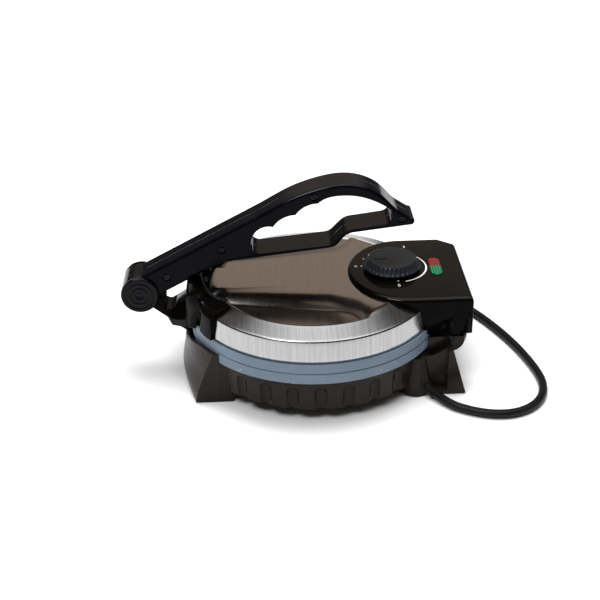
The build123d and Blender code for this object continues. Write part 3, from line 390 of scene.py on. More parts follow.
def turnedMetal(name, look):
    f = Finish(name)
    where = f.place()
    cloud = f.noise(where, 300.0, 3.0)
    colour = f.mix(f.fit(cloud, 0.3, 0.7), rgb(*look["dark"]), rgb(*look["light"]))
    return f.surface(colour=colour, metal=1.0, rough=f.fit(cloud, 0.3, 0.7, look["rough"][0], look["rough"][1]),
                     normal=f.bump(f.noise(where, 2200.0, 2.0), 0.15, 0.00005))


zincPlate = {"dark": (0.5, 0.51, 0.53), "light": (0.66, 0.67, 0.69), "rough": (0.18, 0.34)}
brassPin = {"dark": (0.62, 0.47, 0.2), "light": (0.78, 0.62, 0.3), "rough": (0.16, 0.3)}
blackScrew = {"dark": (0.012, 0.013, 0.017), "light": (0.03, 0.032, 0.038), "rough": (0.16, 0.3)}
elementSheath = {"dark": (0.1, 0.085, 0.075), "light": (0.2, 0.17, 0.15), "rough": (0.35, 0.55)}


def softRubber(name, look):
    f = Finish(name)
    where = f.place()
    cloud = f.noise(where, 60.0, 3.0)
    grain = f.noise(where, look["grainScale"], 3.0)
    colour = f.mix(f.fit(cloud, 0.3, 0.7), rgb(*look["dark"]), rgb(*look["light"]))
    return f.surface(colour=colour, rough=f.fit(cloud, 0.3, 0.7, look["rough"][0], look["rough"][1]),
                     specular=0.18, normal=f.bump(grain, look["bump"], 0.0002))


padRubber = {"grainScale": 1500.0, "dark": (0.016, 0.016, 0.016), "light": (0.03, 0.03, 0.03), "rough": (0.7, 0.9),
             "bump": 0.3}
leadPvc = {"grainScale": 900.0, "dark": (0.0045, 0.0045, 0.005), "light": (0.008, 0.008, 0.0085), "rough": (0.38, 0.52),
           "bump": 0.12}
ceramic = {"grainScale": 1200.0, "dark": (0.55, 0.53, 0.48), "light": (0.68, 0.66, 0.6), "rough": (0.4, 0.6), "bump": 0.2}


def lampLens(name, look):
    # coloured lens with a ribbed inner face, glowing a little from the lamp below
    f = Finish(name)
    x, y, z = f.axes(f.place())
    ribs = f.node("ShaderNodeMath", {"operation": "SINE"}, {0: (x + y) * look["ribScale"]})
    cross = f.node("ShaderNodeMath", {"operation": "SINE"}, {0: (x - y) * look["ribScale"]})
    pattern = ribs * cross
    colour = f.mix(f.fit(pattern, -0.6, 0.6), rgb(*look["deep"]), rgb(*look["bright"]))
    return f.surface(colour=colour, rough=0.08, coat=0.4, coatRough=0.03, glow=colour, glowStrength=look["glow"],
                     normal=f.bump(pattern, 0.3, 0.0004, f.roundEdges(0.0005)))


redLens = {"ribScale": 1500.0, "deep": (0.05, 0.002, 0.002), "bright": (0.30, 0.014, 0.010), "glow": 0.06}
greenLens = {"ribScale": 1500.0, "deep": (0.001, 0.035, 0.013), "bright": (0.006, 0.24, 0.09), "glow": 0.08}


def whitePrint(name):
    f = Finish(name)
    where = f.place()
    wear = f.noise(where, 900.0, 3.0)
    colour = f.mix(f.fit(wear, 0.3, 0.75), rgb(0.86, 0.86, 0.84), rgb(0.7, 0.7, 0.68))
    return f.surface(colour=colour, rough=f.fit(wear, 0.3, 0.7, 0.4, 0.55), specular=0.4)


finishes = {
    "black_plastic": mouldedPlastic("blackPlastic", basePlastic),
    "handle_plastic": mouldedPlastic("handlePlastic", handlePlastic),
    "knob_plastic": mouldedPlastic("knobPlastic", knobPlastic),
    "brushed_lid": brushedSteel("brushedLid", lidSteel),
    "coated_plate": coatedPlate("coatedPlate", plateCoat),
    "sheet_steel": brushedSteel("sheetSteel", plainSteel),
    "zinc_steel": turnedMetal("zincSteel", zincPlate),
    "element_steel": turnedMetal("elementSteel", elementSheath),
    "rubber": softRubber("padRubber", padRubber),
    "cord_pvc": softRubber("cordPvc", leadPvc),
    "terminal_plastic": softRubber("terminalPlastic", ceramic),
    "brass_pins": turnedMetal("brassPins", brassPin),
    "thermostat_ceramic": softRubber("thermostatCeramic", ceramic),
    "red_lens": lampLens("redLens", redLens),
    "green_lens": lampLens("greenLens", greenLens),
    "lamp_glass": turnedMetal("lampGlass", {"dark": (0.8, 0.6, 0.45), "light": (0.9, 0.75, 0.6), "rough": (0.1, 0.2)}),
}
housingBlack = mouldedPlastic("housingBlack", housingPlastic)
screwBlack = turnedMetal("screwBlack", blackScrew)
capBlack = mouldedPlastic("capBlack", capPlastic)
dialPrint = whitePrint("dialPrint")
for entry in frame["record"]["subparts"]:
    node = frame["nodes"][entry["node"]]
    node.data.materials.clear()
    own = {"control_housing": housingBlack, "front_bracket": housingBlack, "barrel_caps": capBlack, "hinge_pin": screwBlack}
    node.data.materials.append(own.get(entry["node"], finishes[entry["material_slot"]]))
mainsLead.data.materials.append(finishes["cord_pvc"])
print("finishes made and given to the CAD nodes")


def dress(piece, finish):
    piece.data.materials.clear()
    piece.data.materials.append(finish)
    return piece


# Steel lid
lidLook = {"lowR": 101.6, "lowZ": 54.2, "edgeR": 98.2, "edgeZ": 72.4, "ringR": 81.5, "ringZ": 77.0, "domeR": 76.0,
           "domeZ": 79.0, "recessZ": 75.6, "noseR": 97.6, "noseLowY": 35.0, "noseTopY": 19.0, "noseTopX": 83.0,
           "round": 0.35, "slopePower": 1.7, "innerZ": 74.2, "holeX": 64.5, "holeR": 4.0, "columns": 400}


def arcHeight(x, start, slope, end):
    # lower half of the circle that leaves start at this slope and passes through end
    (x0, y0), (x1, y1) = start, end
    n = np.array([-slope, 1.0]) / np.hypot(slope, 1.0)
    chord = np.array([x1 - x0, y1 - y0])
    r = chord.dot(chord) / (2 * n.dot(chord))
    cx, cy = x0 + r * n[0], y0 + r * n[1]
    return cy - np.sqrt(np.maximum(r * r - (x - cx) ** 2, 0))


def lidHeight(x, y):
    # ring and raised middle, with the nose to the front edge and two shallow recesses taken out
    s = lidLook
    r, side = np.hypot(x, y), np.abs(y)
    ring = s["edgeZ"] + (s["edgeR"] - r) * (s["ringZ"] - s["edgeZ"]) / (s["edgeR"] - s["ringR"])
    step = s["ringZ"] + (s["ringR"] - r) * (s["domeZ"] - s["ringZ"]) / (s["ringR"] - s["domeR"])
    whole = softMin(softMax(ring, step, 0.3), s["domeZ"], s["round"])
    rise = s["domeZ"] - s["edgeZ"]
    flank = s["edgeZ"] + (s["noseLowY"] - side) / (s["noseLowY"] - s["noseTopY"]) * rise
    front = s["edgeZ"] + (s["noseR"] - r) / (s["noseR"] - s["noseTopX"]) * rise
    nose = softMin(softMin(flank, front, s["round"]), s["domeZ"], s["round"])
    whole = np.where(x < -20, softMax(whole, nose, 0.5), whole)
    topSide = np.where(x < 21, 22.7 + (x + 78.5) * 0.0583, arcHeight(x, (21, 28.5), 0.0583, (53, 62.2)))
    topSide = np.where(x > 53, 500.0, topSide)
    lowSide = np.where(x < 17, 40.6 + (x + 69.5) * 0.1954, arcHeight(x, (17, 57.5), 0.1954, (34, 72.97)))
    lowSide = np.where(x > 34, 72.97 + (x - 34) * 3.4, lowSide)
    share = (side - topSide) / np.maximum(lowSide - topSide, 4.0)
    # the slope down into a recess starts gently and steepens to its foot
    fall = np.sign(share) * np.abs(share) ** np.where(share > 0, s["slopePower"], 1.0)
    inward = s["domeZ"] + 0.25 - fall * (s["domeZ"] + 0.25 - s["recessZ"])
    outward = s["recessZ"] + (r - 80.2) / 1.6 * (s["domeZ"] + 0.5 - s["recessZ"])
    hollow = softMax(softMax(inward, s["recessZ"], s["round"]), outward, 0.5)
    return softMin(whole, hollow, s["round"])


def buildLid():
    # rows run up the wall, over the rolled edge, in to the middle, and back under it to close the shell
    s = lidLook
    angle = 2 * pi * np.arange(s["columns"]) / s["columns"]
    wallZ = np.linspace(s["lowZ"], s["edgeZ"] - 1.3, 6)
    wallR = s["lowR"] + (s["edgeR"] - s["lowR"]) * (wallZ - s["lowZ"]) / (s["edgeZ"] - s["lowZ"])
    t = np.linspace(0, 1, 8)[1:-1]
    corner = np.array([s["edgeR"] - 0.02, s["edgeZ"]])
    first, last = np.array([wallR[-1], wallZ[-1]]), np.array([96.9, s["edgeZ"] + 1.3 * 0.2754])
    bend = np.outer((1 - t) ** 2, first) + np.outer(2 * t * (1 - t), corner) + np.outer(t * t, last)
    topR = np.concatenate([np.linspace(96.9, 22, 88), np.linspace(18, 0, 6)])
    rows = [np.stack([r * np.cos(angle), r * np.sin(angle), np.full_like(angle, z)], 1)
            for r, z in list(zip(wallR, wallZ)) + bend.tolist()]
    for r in topR:
        x, y = r * np.cos(angle), r * np.sin(angle)
        rows.append(np.stack([x, y, lidHeight(x, y)], 1))
    inside = [(1.0, s["innerZ"]), (30.0, s["innerZ"]), (50, s["innerZ"]), (60, s["innerZ"]), (64.5, s["innerZ"]), (70, s["innerZ"]),
              (80.0, s["innerZ"]), (93.0, 72.2), (s["edgeR"] - 1.4, 71.2), (s["lowR"] - 0.8, s["lowZ"])]
    for r, z in inside:
        rows.append(np.stack([r * np.cos(angle), r * np.sin(angle), np.full_like(angle, z)], 1))
    rows.append(rows[0])
    points = np.array(rows)
    away = points[..., :2] - np.array([s["holeX"], 0.0])
    far = np.linalg.norm(away, axis=-1, keepdims=True)
    points[..., :2] = np.where(far < s["holeR"], away / np.maximum(far, 1e-6) * s["holeR"], away) + np.array([s["holeX"], 0.0])

    def outsideHole(corners):
        return np.linalg.norm(corners[..., :2] - np.array([s["holeX"], 0.0]), axis=-1).max(1) > s["holeR"] + 1e-6

    lid = gridMesh("steelLid", points, "lid", "brushed_lid", keep=outsideHole)
    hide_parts("lid_shell")
    return dress(lid, finishes["brushed_lid"])


steelLid = buildLid()
print("steel lid made")

# Knob
knobLook = {"x": 64.5, "lowZ": 82.9, "plinthR": 21.5, "lowR": 23.7, "flareZ": 86.2, "topR": 19.7, "topZ": 92.6,
            "grooves": 34, "grooveDepth": 1.4, "dish": 0.5, "boreR": 3.1}


def buildKnob():
    s = knobLook
    columns = s["grooves"] * 10
    angle = 2 * pi * np.arange(columns) / columns
    # a recessed plinth, then a ribbed skirt that narrows up to a flat, slightly dished top
    profile = [(s["boreR"], s["lowZ"] + 5.5), (s["boreR"], s["lowZ"]), (s["plinthR"] - 0.3, s["lowZ"]),
               (s["plinthR"], s["lowZ"] + 0.3), (s["plinthR"], s["flareZ"] - 0.6), (s["lowR"] - 0.4, s["flareZ"] - 0.3),
               (s["lowR"], s["flareZ"])]
    sideZ = np.linspace(s["flareZ"] + 0.4, s["topZ"] - 0.7, 12)
    sideR = np.interp(sideZ, [s["flareZ"], s["topZ"]], [s["lowR"], s["topR"]])
    profile += list(zip(sideR, sideZ))
    turn = np.linspace(0.35, pi / 2, 6)
    profile += [(s["topR"] - 0.7 + 0.8 * cos(a), s["topZ"] - 0.7 + 0.7 * sin(a)) for a in turn]
    profile += [(s["topR"] - 2.0, s["topZ"] - 0.05), (s["topR"] - 3.2, s["topZ"] - s["dish"] * 0.7),
                (s["topR"] - 5.0, s["topZ"] - s["dish"]), (8, s["topZ"] - s["dish"]), (0, s["topZ"] - s["dish"])]
    profile = np.array(profile)
    r, z = np.repeat(profile[:, :1], columns, 1), np.repeat(profile[:, 1:], columns, 1)
    wave = np.clip(np.cos(angle * s["grooves"]) * 1.5 - 0.2, 0, 1) ** 0.8       # flat ribs with round grooves between
    onSide = np.clip((z - s["flareZ"] - 0.6) / 0.9, 0, 1) * np.clip((s["topZ"] - 0.2 - z) / 0.8, 0, 1)
    r = r - s["grooveDepth"] * wave * onSide * (r > s["topR"] - 2)
    points = np.stack([s["x"] + r * np.cos(angle), r * np.sin(angle), z], -1)
    body = gridMesh("dialKnob", points, "knob", "knob_plastic")
    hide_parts("knob")
    dress(body, finishes["knob_plastic"])
    # raised pointer across the dish, a rounded ridge
    along = np.linspace(0, 1, 14)[:, None]
    across = np.linspace(-1, 1, 9)[None, :]
    width = 1.5 * np.sqrt(np.clip(1 - (2 * along - 1) ** 6, 0, 1)) + 0.02
    x = s["x"] - 4.0 - along * 15.0 + 0 * across
    y = across * width
    top = s["topZ"] - s["dish"] - 0.2 + 0.95 * (1 - across ** 4) * np.clip(1 - (2 * along - 1) ** 8, 0, 1)
    ridge = gridMesh("knobPointer", np.stack([x, y + 0 * x, top], -1), "knob", "knob_plastic", around=False)
    dress(ridge, dialPrint if knobLook.get("whitePointer") else finishes["knob_plastic"])
    return body


buildKnob()
print("knob made")

# Dial print
dialLook = {"x": 65.6, "y": 2.6, "z": 82.55, "arcR": 27.6, "arcFrom": 42.0, "arcTo": -74.0, "thin": 0.35, "thick": 1.35,
            "figures": [("5", (67.3, -30.6), 0, 6.0), ("3", (79.2, 39.5), 0, 5.0), ("0", (35.2, 5.6), 0, 4.6)],
            "dots": [(67.3, -22.8, 0.8), (42.7, 19.3, 0.6), (47.7, 26.4, 0.6), (39.8, 5.9, 0.7)]}


def buildPrint():
    s = dialLook
    a = np.radians(np.linspace(s["arcFrom"], s["arcTo"], 90))
    width = s["thin"] + (s["thick"] - s["thin"]) * np.sin(np.linspace(0.15, pi * 0.86, 90))
    rows = []
    for r, dz in ((-1, -0.1), (-1, 0.06), (1, 0.06), (1, -0.1)):
        radius = s["arcR"] + r * width / 2
        rows.append(np.stack([s["x"] + radius * np.cos(a), s["y"] + radius * np.sin(a), np.full_like(a, s["z"] + dz)], 1))
    arc = gridMesh("dialArc", np.array(rows), "lid", "dialArc", around=False, smooth=False)
    marks = [arc]
    for x, y, r in s["dots"]:
        spot = revolve([(0, -0.1), (r, -0.1), (r, 0.06), (0, 0.06)], 20, (x, y, s["z"]), (0, 0, 1))
        marks.append(gridMesh("dialDot", spot, None, None, smooth=False))
    for text, (x, y), turn, size in s["figures"]:
        curve = bpy.data.curves.new("figure", "FONT")
        curve.body = text
        curve.size = size / 1000
        curve.align_x = curve.align_y = "CENTER"
        curve.extrude = 0.00005
        curve.resolution_u = 4
        figure = bpy.data.objects.new("figure", curve)
        bpy.context.scene.collection.objects.link(figure)
        bpy.context.view_layer.update()
        mesh = bpy.data.meshes.new_from_object(figure)
        bpy.data.objects.remove(figure)
        place = toRow((x, y, s["z"]))
        mesh.transform(Matrix.Translation(Vector(place)) @ Matrix.Rotation(radians(turn), 4, "Z"))
        piece = bpy.data.objects.new("dialFigure", mesh)
        bpy.context.scene.collection.objects.link(piece)
        marks.append(piece)
    return marks


for mark in buildPrint():
    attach(mark, "lid")
    if "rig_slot" in mark:
        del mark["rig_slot"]
    mark.name = mark.name.replace(" ", "")
    dress(mark, dialPrint)
print("dial print made")


# Control housing: the moulded cover with its near rear corner full, where the far one is cut off
def cadCopy(name, node, body, slot):
    import bmesh
    mesh = frame["nodes"][node].data.copy()
    work = bmesh.new()
    work.from_mesh(mesh)
    bmesh.ops.remove_doubles(work, verts=work.verts, dist=2e-6)
    work.to_mesh(mesh)
    work.free()
    piece = bpy.data.objects.new(name, mesh)
    bpy.context.scene.collection.objects.link(piece)
    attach(piece, body)
    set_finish(piece, slot)
    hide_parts(node)
    return piece


def meshPoints(mesh):
    flat = np.empty(len(mesh.vertices) * 3)
    mesh.vertices.foreach_get("co", flat)
    return flat.reshape(-1, 3) * 1000.0 - np.array([discX, 0.0, 0.0])


def setPoints(mesh, points):
    mesh.vertices.foreach_set("co", toRow(points).ravel())
    mesh.update()


def softShade(piece, angle=32.0):
    piece.data.polygons.foreach_set("use_smooth", np.full(len(piece.data.polygons), True))
    piece.data.set_sharp_from_angle(angle=radians(angle))
    return piece


housingLook = {"cutX": 110.0, "cutY": 55.5, "rearX": 124.0, "rearY": 44.0, "round": 4.6}


def buildHousing():
    # points near the slanted corner slide along Y until its face lies in the flank's plane
    s = housingLook
    piece = cadCopy("housingCover", "control_housing", "lid", "black_plastic")
    points = meshPoints(piece.data)
    x, y, z = points.T
    along = np.array([s["rearX"] - s["cutX"], s["cutY"] - s["rearY"]])
    slope = along[1] / along[0]
    depth = ((x - s["cutX"]) * along[1] - (y + s["cutY"]) * along[0]) / np.hypot(*along)
    outer = np.where(z > 77.5, depth > -s["round"], depth > -1.2) & (x > s["cutX"] - 3) & (y < -38)
    shift = np.clip((x - s["cutX"]) * slope - depth * 0.29, 0, None)
    share = np.clip((-s["rearY"] + 2.4 - y) / 1.2, 0, 1)
    points[:, 1] = y - np.where(outer, shift * share, 0.0)
    setPoints(piece.data, points)
    return dress(softShade(piece), housingBlack)


buildHousing()
print("housing made")

# Front bracket: a narrow web under the arm that widens to the lid, a tongue below and a glossy lip round the lid's nose
bracketLook = {"cutX": -104.8, "frontX": -122.0, "webY": 5.6,
               "stations": [-124.8, -124.2, -122.4, -118.7, -112.0, -106.2, -104.6],
               "topY": [9.5, 10.5, 11.0, 11.0, 11.0, 11.0, 24.0], "topZ": [58.6, 59.2, 57.2, 57.0, 61.1, 64.7, 78.5],
               "sideY": [9.9, 11.6, 12.8, 15.0, 22.8, 29.3, 30.6], "sideZ": [57.6, 56.5, 53.0, 50.0, 53.5, 57.0, 62.0],
               "lowY": [9.5, 10.8, 11.4, 13.5, 21.0, 27.8, 29.6], "lowZ": [56.8, 54.8, 50.6, 43.6, 46.5, 49.5, 50.0],
               "tongue": [(-135, 61), (-124, 52), (-115, 43.5), (-106.5, 37), (-104.5, 37), (-104.5, 50), (-116, 54),
                          (-124, 58), (-133, 64)], "tongueY": 12.0,
               "lip": [(-94.6, 0, 82.4), (-93.4, 9, 82.2), (-91.0, 18, 81.0), (-87.0, 26, 79.0), (-80.5, 33.5, 77.4),
                       (-72.0, 38.5, 76.8)], "lipR": 1.9}


def tubeAlong(path, radius, columns=16):
    # circles set square to a smooth line through the path's points, closed at both ends
    path = np.asarray(path, float)
    knots = np.arange(len(path))
    fine = np.linspace(0, len(path) - 1, (len(path) - 1) * 8 + 1)
    line = np.stack([np.interp(fine, knots, path[:, k]) for k in range(3)], 1)
    for _ in range(14):
        line[1:-1] = (line[:-2] + 2 * line[1:-1] + line[2:]) / 4
    way = np.gradient(line, axis=0)
    way = way / np.linalg.norm(way, axis=1, keepdims=True)
    side = np.cross(way, [0.0, 0.0, 1.0])
    side = side / np.linalg.norm(side, axis=1, keepdims=True)
    up = np.cross(side, way)
    a = 2 * pi * np.arange(columns) / columns
    r = np.full(len(line), radius)
    r[[0, -1]] = 0.001
    return (line[:, None] + r[:, None, None] * (np.cos(a)[None, :, None] * side[:, None] + np.sin(a)[None, :, None] * up[:, None]))


def buildBracket():
    import bmesh
    s = bracketLook
    collar = cadCopy("frontBracket", "front_bracket", "lid", "black_plastic")
    work = bmesh.new()
    work.from_mesh(collar.data)
    planes = [((s["cutX"], 0, 0), (1, 0, 0)), ((s["frontX"], 0, 0), (1, 0, 0)),
              ((0, s["webY"], 0), (0, 1, 0)), ((0, -s["webY"], 0), (0, 1, 0))]
    for place, way in planes:
        bmesh.ops.bisect_plane(work, geom=work.verts[:] + work.edges[:] + work.faces[:], dist=1e-7,
                               plane_co=Vector(toRow(place)) if way[0] else Vector((0, place[1] / 1000, 0)), plane_no=way)
    cutX, frontX = (s[k] / 1000 + discX / 1000 for k in ("cutX", "frontX"))
    gone = []
    for face in work.faces:
        middle = face.calc_center_median()
        if middle.x < cutX and (middle.x > frontX or abs(middle.y) > s["webY"] / 1000):
            gone.append(face)
    bmesh.ops.delete(work, geom=gone, context="FACES")
    open_ = [e for e in work.edges if e.is_boundary and all(abs(v.co.x - cutX) < 2e-6 for v in e.verts)]
    bmesh.ops.triangle_fill(work, use_beauty=True, edges=open_)
    work.to_mesh(collar.data)
    work.free()
    dress(softShade(collar), housingBlack)
    # the web: each station's ring runs over the top, down the flank, under and back up
    x = np.union1d(np.linspace(s["stations"][0], s["stations"][-1], 24), s["stations"])
    topY, topZ, sideY, sideZ, lowY, lowZ = (np.interp(x, s["stations"], s[k])
                                            for k in ("topY", "topZ", "sideY", "sideZ", "lowY", "lowZ"))
    ring = np.stack([np.stack([x, y, z], 1) for y, z in ((topY, topZ), (sideY, sideZ), (lowY, lowZ), (-lowY, lowZ),
                                                         (-sideY, sideZ), (-topY, topZ))], 1)
    ends = [np.repeat(ring[k].mean(0)[None], 6, 0) for k in (0, -1)]
    web = gridMesh("bracketWeb", np.concatenate([ends[0][None], ring, ends[1][None]]), "lid", "black_plastic", smooth=False)
    dress(softShade(web), housingBlack)
    outline = np.array([(px, 0.0, pz) for px, pz in s["tongue"]], float)
    middle = outline.mean(0)
    rows = [middle + 0 * outline, outline, outline, middle + 0 * outline]
    rows = [row + np.array([0, side * s["tongueY"], 0]) for row, side in zip(rows, (-1, -1, 1, 1))]
    tongue = gridMesh("bracketTongue", np.array(rows), "lid", "black_plastic", smooth=False)
    dress(tongue, housingBlack)
    path = [(px, -py, pz) for px, py, pz in s["lip"][:0:-1]] + s["lip"]
    lip = gridMesh("bracketLip", tubeAlong(path, s["lipR"]), "lid", "black_plastic")
    dress(lip, finishes["handle_plastic"])


buildBracket()
print("front bracket made")

# Front of the base: the bulging panel between the two front feet
apronLook = {"levels": [1.25, 5.0, 10.0, 20.0, 31.0, 46.0], "middleX": [109.5, 111.5, 112.3, 110.4, 107.7, 107.4],
             "sideX": [99.3, 98.9, 97.6, 93.9, 89.6, 82.9], "halfY": 66.15, "backX": 79.0, "wall": 1.0,
             "rimY": [0, 10, 20, 30, 40, 52, 66.2], "rimZ": [31.2, 32.5, 35.9, 39.7, 42.3, 44.5, 45.0]}


def buildApron():
    # rows go up from the foot to the rim, outside first and then down the inside; each row is an arc between two corners
    s = apronLook
    u = np.linspace(-1, 1, 81)
    halfTurnY = u * s["halfY"]

    def sheet(inset):
        rimZ = np.interp(np.abs(halfTurnY), s["rimY"], s["rimZ"])
        rows = []
        for v in np.linspace(0, 1, 26):
            z = s["levels"][0] + v * (rimZ - s["levels"][0])
            mid, side = np.interp(z, s["levels"], s["middleX"]), np.interp(z, s["levels"], s["sideX"])
            bow = (mid - side)
            r = (bow ** 2 + s["halfY"] ** 2) / (2 * bow)          # circle through both corners and the middle
            x = -(mid - r + np.sqrt(r ** 2 - halfTurnY ** 2)) + inset
            front = np.stack([x, halfTurnY * (1 - inset / s["halfY"]), z], 1)
            near = np.stack([np.linspace(-s["backX"], front[0, 0], 6)[:-1], np.full(5, front[0, 1]), np.full(5, front[0, 2])], 1)
            far = near[::-1] * np.array([1, -1, 1])
            rows.append(np.concatenate([near, front, far]))
        return rows

    outer, inner = sheet(0.0), sheet(s["wall"])
    rows = np.array(outer + inner[::-1] + outer[:1])
    rows = np.concatenate([rows[:, :1] * 0 + rows[:, :1].mean(0), rows, rows[:, -1:] * 0 + rows[:, -1:].mean(0)], 1)
    apron = gridMesh("frontApron", rows, "base", "black_plastic", around=False)
    return dress(softShade(apron), finishes["black_plastic"])


buildApron()

# Bell over the lead's exit
bellLook = {"place": (79.5, -52.5), "profile": [(0, 1.25), (15.6, 1.25), (16.6, 2.0), (16.8, 3.4), (16.0, 6.5), (14.2, 12.0),
            (12.6, 18.0), (11.4, 25.0), (10.6, 31.0), (9.8, 33.6), (7.5, 34.6), (0, 34.8)]}
bellPoints = revolve([(r, h) for r, h in bellLook["profile"]], 72, (*bellLook["place"], 0.0), (0, 0, 1))
leadBell = dress(softShade(gridMesh("leadBell", bellPoints, "base", "black_plastic")), finishes["black_plastic"])
print("apron and bell made")

# Screws
def screwPoints(seat, way, head, height, shank, length):
    # one screw from the recess in its head to its tip; the head's top is domed, with a cross pressed in
    columns = 64
    angle = 2 * pi * np.arange(columns) / columns
    radii = np.concatenate([np.linspace(0.0, head * 0.78, 16), head * np.array([0.86, 0.93, 0.98, 1.0])])
    way = np.array(way, float)
    side = np.array([1.0, 0, 0]) if abs(way[0]) < 0.5 else np.array([0, 1.0, 0])
    other = np.cross(way, side)
    rows = []
    for r in radii:
        x, y = r * np.cos(angle), r * np.sin(angle)
        arms = np.minimum(np.abs(x), np.abs(y)) / (head * 0.15)
        reach = np.maximum(np.abs(x), np.abs(y)) / (head * 0.62)
        cut = np.clip(1.6 - arms, 0, 1) * np.clip((1.05 - reach) * 4, 0, 1)
        z = height - head * 0.22 * (r / head) ** 2.6 - height * 0.5 * cut
        rows.append(np.stack([r * np.cos(angle), r * np.sin(angle), z], 1))
    for r, z in ((head, 0.15 * height), (head * 0.97, 0.0), (shank, 0.0), (shank, -length + 0.8), (shank * 0.5, -length), (0, -length)):
        rows.append(np.stack([r * np.cos(angle), r * np.sin(angle), np.full_like(angle, z)], 1))
    local = np.array(rows)
    return np.array(seat) + local[..., :1] * side + local[..., 1:2] * other + local[..., 2:] * way


def buildScrews(name, node, body, seats, finish, head=3.0, height=2.0, shank=1.5, length=12.0):
    made = []
    for i, (seat, way) in enumerate(seats):
        made.append(gridMesh(f"{name}{i}", screwPoints(seat, way, head, height, shank, length), None, None))
    group = join(name, made, body, "zinc_steel")
    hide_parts(node)
    return dress(group, finish)


handleSpots = [(-120.1, 88.2), (-74.4, 110.8), (0.6, 154.5), (70.2, 133.2)]
buildScrews("handleScrews", "handle_screws", "handle", [((x, -12.0, z), (0, -1, 0)) for x, z in handleSpots], screwBlack,
            length=20.0)
buildScrews("capScrews", "cap_screws", "handle", [((-143.0, s * 15.0, 73.6), (0, s, 0)) for s in (-1, 1)],
            screwBlack, length=8.0)
coverTurns = [radians(45 + 90 * i) for i in range(4)]
buildScrews("bracketScrews", "bracket_screws", "lid", [((-95.0, s * 14.0, 61.0), (1, 0, 0)) for s in (-1, 1)],
            screwBlack, length=8.0)
buildScrews("coverScrews", "cover_screws", "base", [((84 * cos(a), 84 * sin(a), 11.0), (0, 0, -1)) for a in coverTurns],
            finishes["zinc_steel"])
print("screws made")

# Strain relief, plug and tie on the lead
reliefLook = {"exit": (82.5, -55.5, 6.3), "way": (0.53, -0.84, -0.06), "inner": 6.0, "outer": 20.0, "bigR": 5.6,
              "smallR": 4.1, "ribs": 5, "ribDepth": 0.7}


def buildRelief():
    s = reliefLook
    h = np.linspace(-s["inner"], s["outer"], 90)
    taper = s["bigR"] + (s["smallR"] - s["bigR"]) * (h + s["inner"]) / (s["inner"] + s["outer"])
    wave = np.clip(np.sin((h - 4.0) / 14.0 * pi * 2 * s["ribs"]) * 2.2, 0, 1) * ((h > 4.0) & (h < 18.0))
    profile = [(0, -s["inner"])] + list(zip(taper - s["ribDepth"] * wave, h))
    profile += [(3.55, s["outer"] + 0.02), (3.45, s["outer"] - 6), (0, s["outer"] - 6)]
    sleeve = gridMesh("reliefSleeve", revolve(profile, 48, s["exit"], s["way"]), "base", "cord_pvc")
    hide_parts("strain_relief")
    return dress(sleeve, finishes["cord_pvc"])


reliefSleeve = buildRelief()

plugLook = {"x": -14.0, "faceY": 130.0, "z": 22.15, "halfWidth": 17.4, "halfHeight": 7.95}


def buildPlug():
    # a rounded section that changes along the plug: full at the pins, waisted for the grip, round at the tail
    s = plugLook
    y = np.array([0, 0, 0.5, 1.4, 4, 8, 12, 16, 20, 24, 28, 31, 33, 36, 40, 44, 44])
    w = np.array([0, .94, .97, 1, 1, .99, .93, .84, .75, .66, .56, .45, .34, .29, .27, .245, 0]) * s["halfWidth"]
    h = np.array([0, .92, .96, 1, 1, .99, .96, .92, .88, .84, .80, .74, .68, .63, .58, .53, 0]) * s["halfHeight"]
    power = np.array([4, 4, 4, 4, 4, 4, 4, 4, 3.6, 3.2, 2.8, 2.4, 2, 2, 2, 2, 2])
    fine = np.concatenate([[0], np.linspace(0.0, 44.0, 100), [44.0]])
    w, h, power = (np.interp(fine, y[1:-1], v[1:-1]) for v in (w, h, power))
    ribs = 0.35 * np.clip(np.sin(fine * 2 * pi / 2.6) * 2, 0, 1) * ((fine > 10) & (fine < 24))
    ribs = ribs + 0.6 * np.clip(np.sin(fine * 2 * pi / 3.0) * 2, 0, 1) * ((fine > 33.5) & (fine < 42))
    w, h = w - ribs, h - ribs * 0.5
    w[0] = h[0] = 0.001
    w[-1] = h[-1] = 0.001
    a = 2 * pi * np.arange(64) / 64
    c, q = np.cos(a), np.sin(a)
    e = (2 / power)[:, None]
    x = w[:, None] * np.sign(c) * np.abs(c) ** e
    z = h[:, None] * np.sign(q) * np.abs(q) ** e
    points = np.stack([s["x"] + x, s["faceY"] + fine[:, None] + 0 * x, s["z"] + z], -1)
    plug = gridMesh("plugBody", points, "base", "cord_pvc")
    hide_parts("plug_body")
    return dress(plug, finishes["cord_pvc"])


plugPiece = buildPlug()

tieLook = {"middle": (24.0, 152.0), "angle": 300.0, "coilR": 38.0, "halfWide": 4.0, "half": 7.1, "midZ": 7.15, "thick": 0.5}


def buildTie():
    # a flat strap round the bundle of turns, a rounded square in section
    s = tieLook
    a = radians(s["angle"])
    out, along = np.array([cos(a), sin(a), 0]), np.array([-sin(a), cos(a), 0])
    middle = np.array([s["middle"][0] + s["coilR"] * cos(a), s["middle"][1] + s["coilR"] * sin(a), s["midZ"]])
    t = 2 * pi * np.arange(72) / 72
    square = (np.abs(np.cos(t)) ** 6 + np.abs(np.sin(t)) ** 6) ** (-1 / 6)
    rows = []
    for width, grow in ((-1, 0.0), (-1, 1), (1, 1), (1, 0.0), (-1, 0.0)):
        r = (s["half"] + grow * s["thick"]) * square
        height = np.maximum(r * np.sin(t), -(s["half"] + 0.02))
        rows.append(middle + np.outer(r * np.cos(t), out) + np.outer(height, [0, 0, 1]) + along * width * s["halfWide"])
    strap = gridMesh("coilTie", np.array(rows), "base", "cord_pvc", smooth=False)
    return dress(strap, finishes["rubber"])


coilTie = buildTie()
print("relief, plug and tie made")

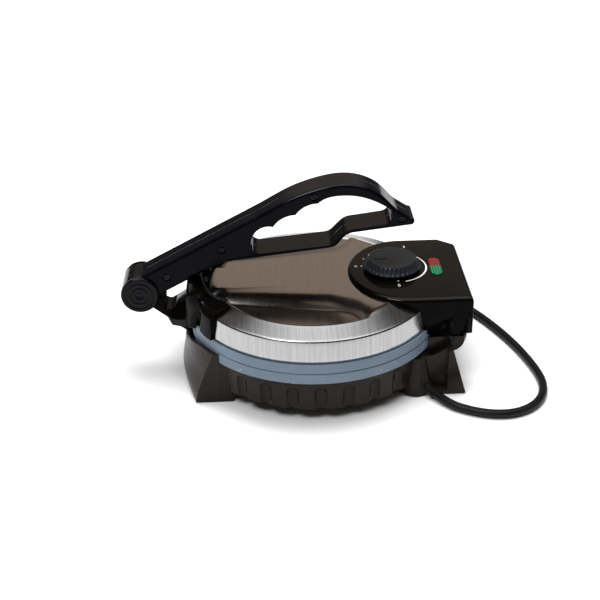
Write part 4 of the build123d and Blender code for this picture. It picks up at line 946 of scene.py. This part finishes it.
# Floor and light
stageLook = {"size": 7.0, "floor": (0.9, 0.9, 0.9), "haze": (0.07, 0.066, 0.062), "wall": (0.33, 0.275, 0.235),
             "sky": (1.9, 1.9, 1.9), "wallWay": (0.0, 0.879, 0.477)}


def setStage():
    s = stageLook
    mesh = bpy.data.meshes.new("floor")
    half = s["size"] / 2
    mesh.from_pydata([(-half, -half, 0), (half, -half, 0), (half, half, 0), (-half, half, 0)], [], [(0, 1, 2, 3)])
    floor = bpy.data.objects.new("floor", mesh)
    bpy.context.scene.collection.objects.link(floor)
    f = Finish("paleFloor")
    tone = f.noise(f.place(), 3.0, 2.0)
    dress(floor, f.surface(colour=f.mix(tone, rgb(*s["floor"]), rgb(*[c * 0.99 for c in s["floor"]])), rough=0.8, specular=0.1))
    # a dim room with a warm wall behind the object and a white ceiling panel overhead
    world = bpy.data.worlds.new("studio")
    world.use_nodes = True
    room = Finish.__new__(Finish)
    room.tree = world.node_tree
    room.tree.nodes.clear()
    way = room.node("ShaderNodeTexCoord", output="Generated")
    x, y, z = room.axes(way)
    wx, wy, wz = s["wallWay"]
    facing = x * wx + y * wy + z * wz
    light = room.mix(room.fit(facing, 0.9, 0.965), rgb(*s["haze"]), rgb(*s["wall"]))
    light = room.mix(room.fit(z, 0.76, 0.92), light, rgb(*s["sky"]))
    back = room.node("ShaderNodeBackground", {}, {"Color": light, "Strength": 1.0})
    room.node("ShaderNodeOutputWorld", {}, {"Surface": back})
    bpy.context.scene.world = world
    bpy.context.scene.view_settings.view_transform = "Standard"


softboxes = [
    {"name": "keyBox", "place": (-0.7, -0.9, 1.7), "aim": (0.0, 0.0, 0.05), "size": (0.8, 0.6), "power": 14.0, "mirrored": True},
    {"name": "topBox", "place": (0.1, 0.6, 2.3), "aim": (0.0, 0.5, 0.0), "size": (1.6, 1.2), "power": 50.0, "mirrored": False},
]


def setLights():
    for box in softboxes:
        light = bpy.data.lights.new(box["name"], "AREA")
        light.shape = "RECTANGLE"
        light.size, light.size_y = box["size"]
        light.energy = box["power"]
        lamp = bpy.data.objects.new(box["name"], light)
        lamp.location = box["place"]
        lamp.visible_glossy = box["mirrored"]  # the steel lid mirrors the room and not the upper lamp
        lamp.rotation_euler = (Vector(box["aim"]) - Vector(box["place"])).to_track_quat("-Z", "Y").to_euler()
        bpy.context.scene.collection.objects.link(lamp)


setStage()
setLights()
print("floor and lights set")
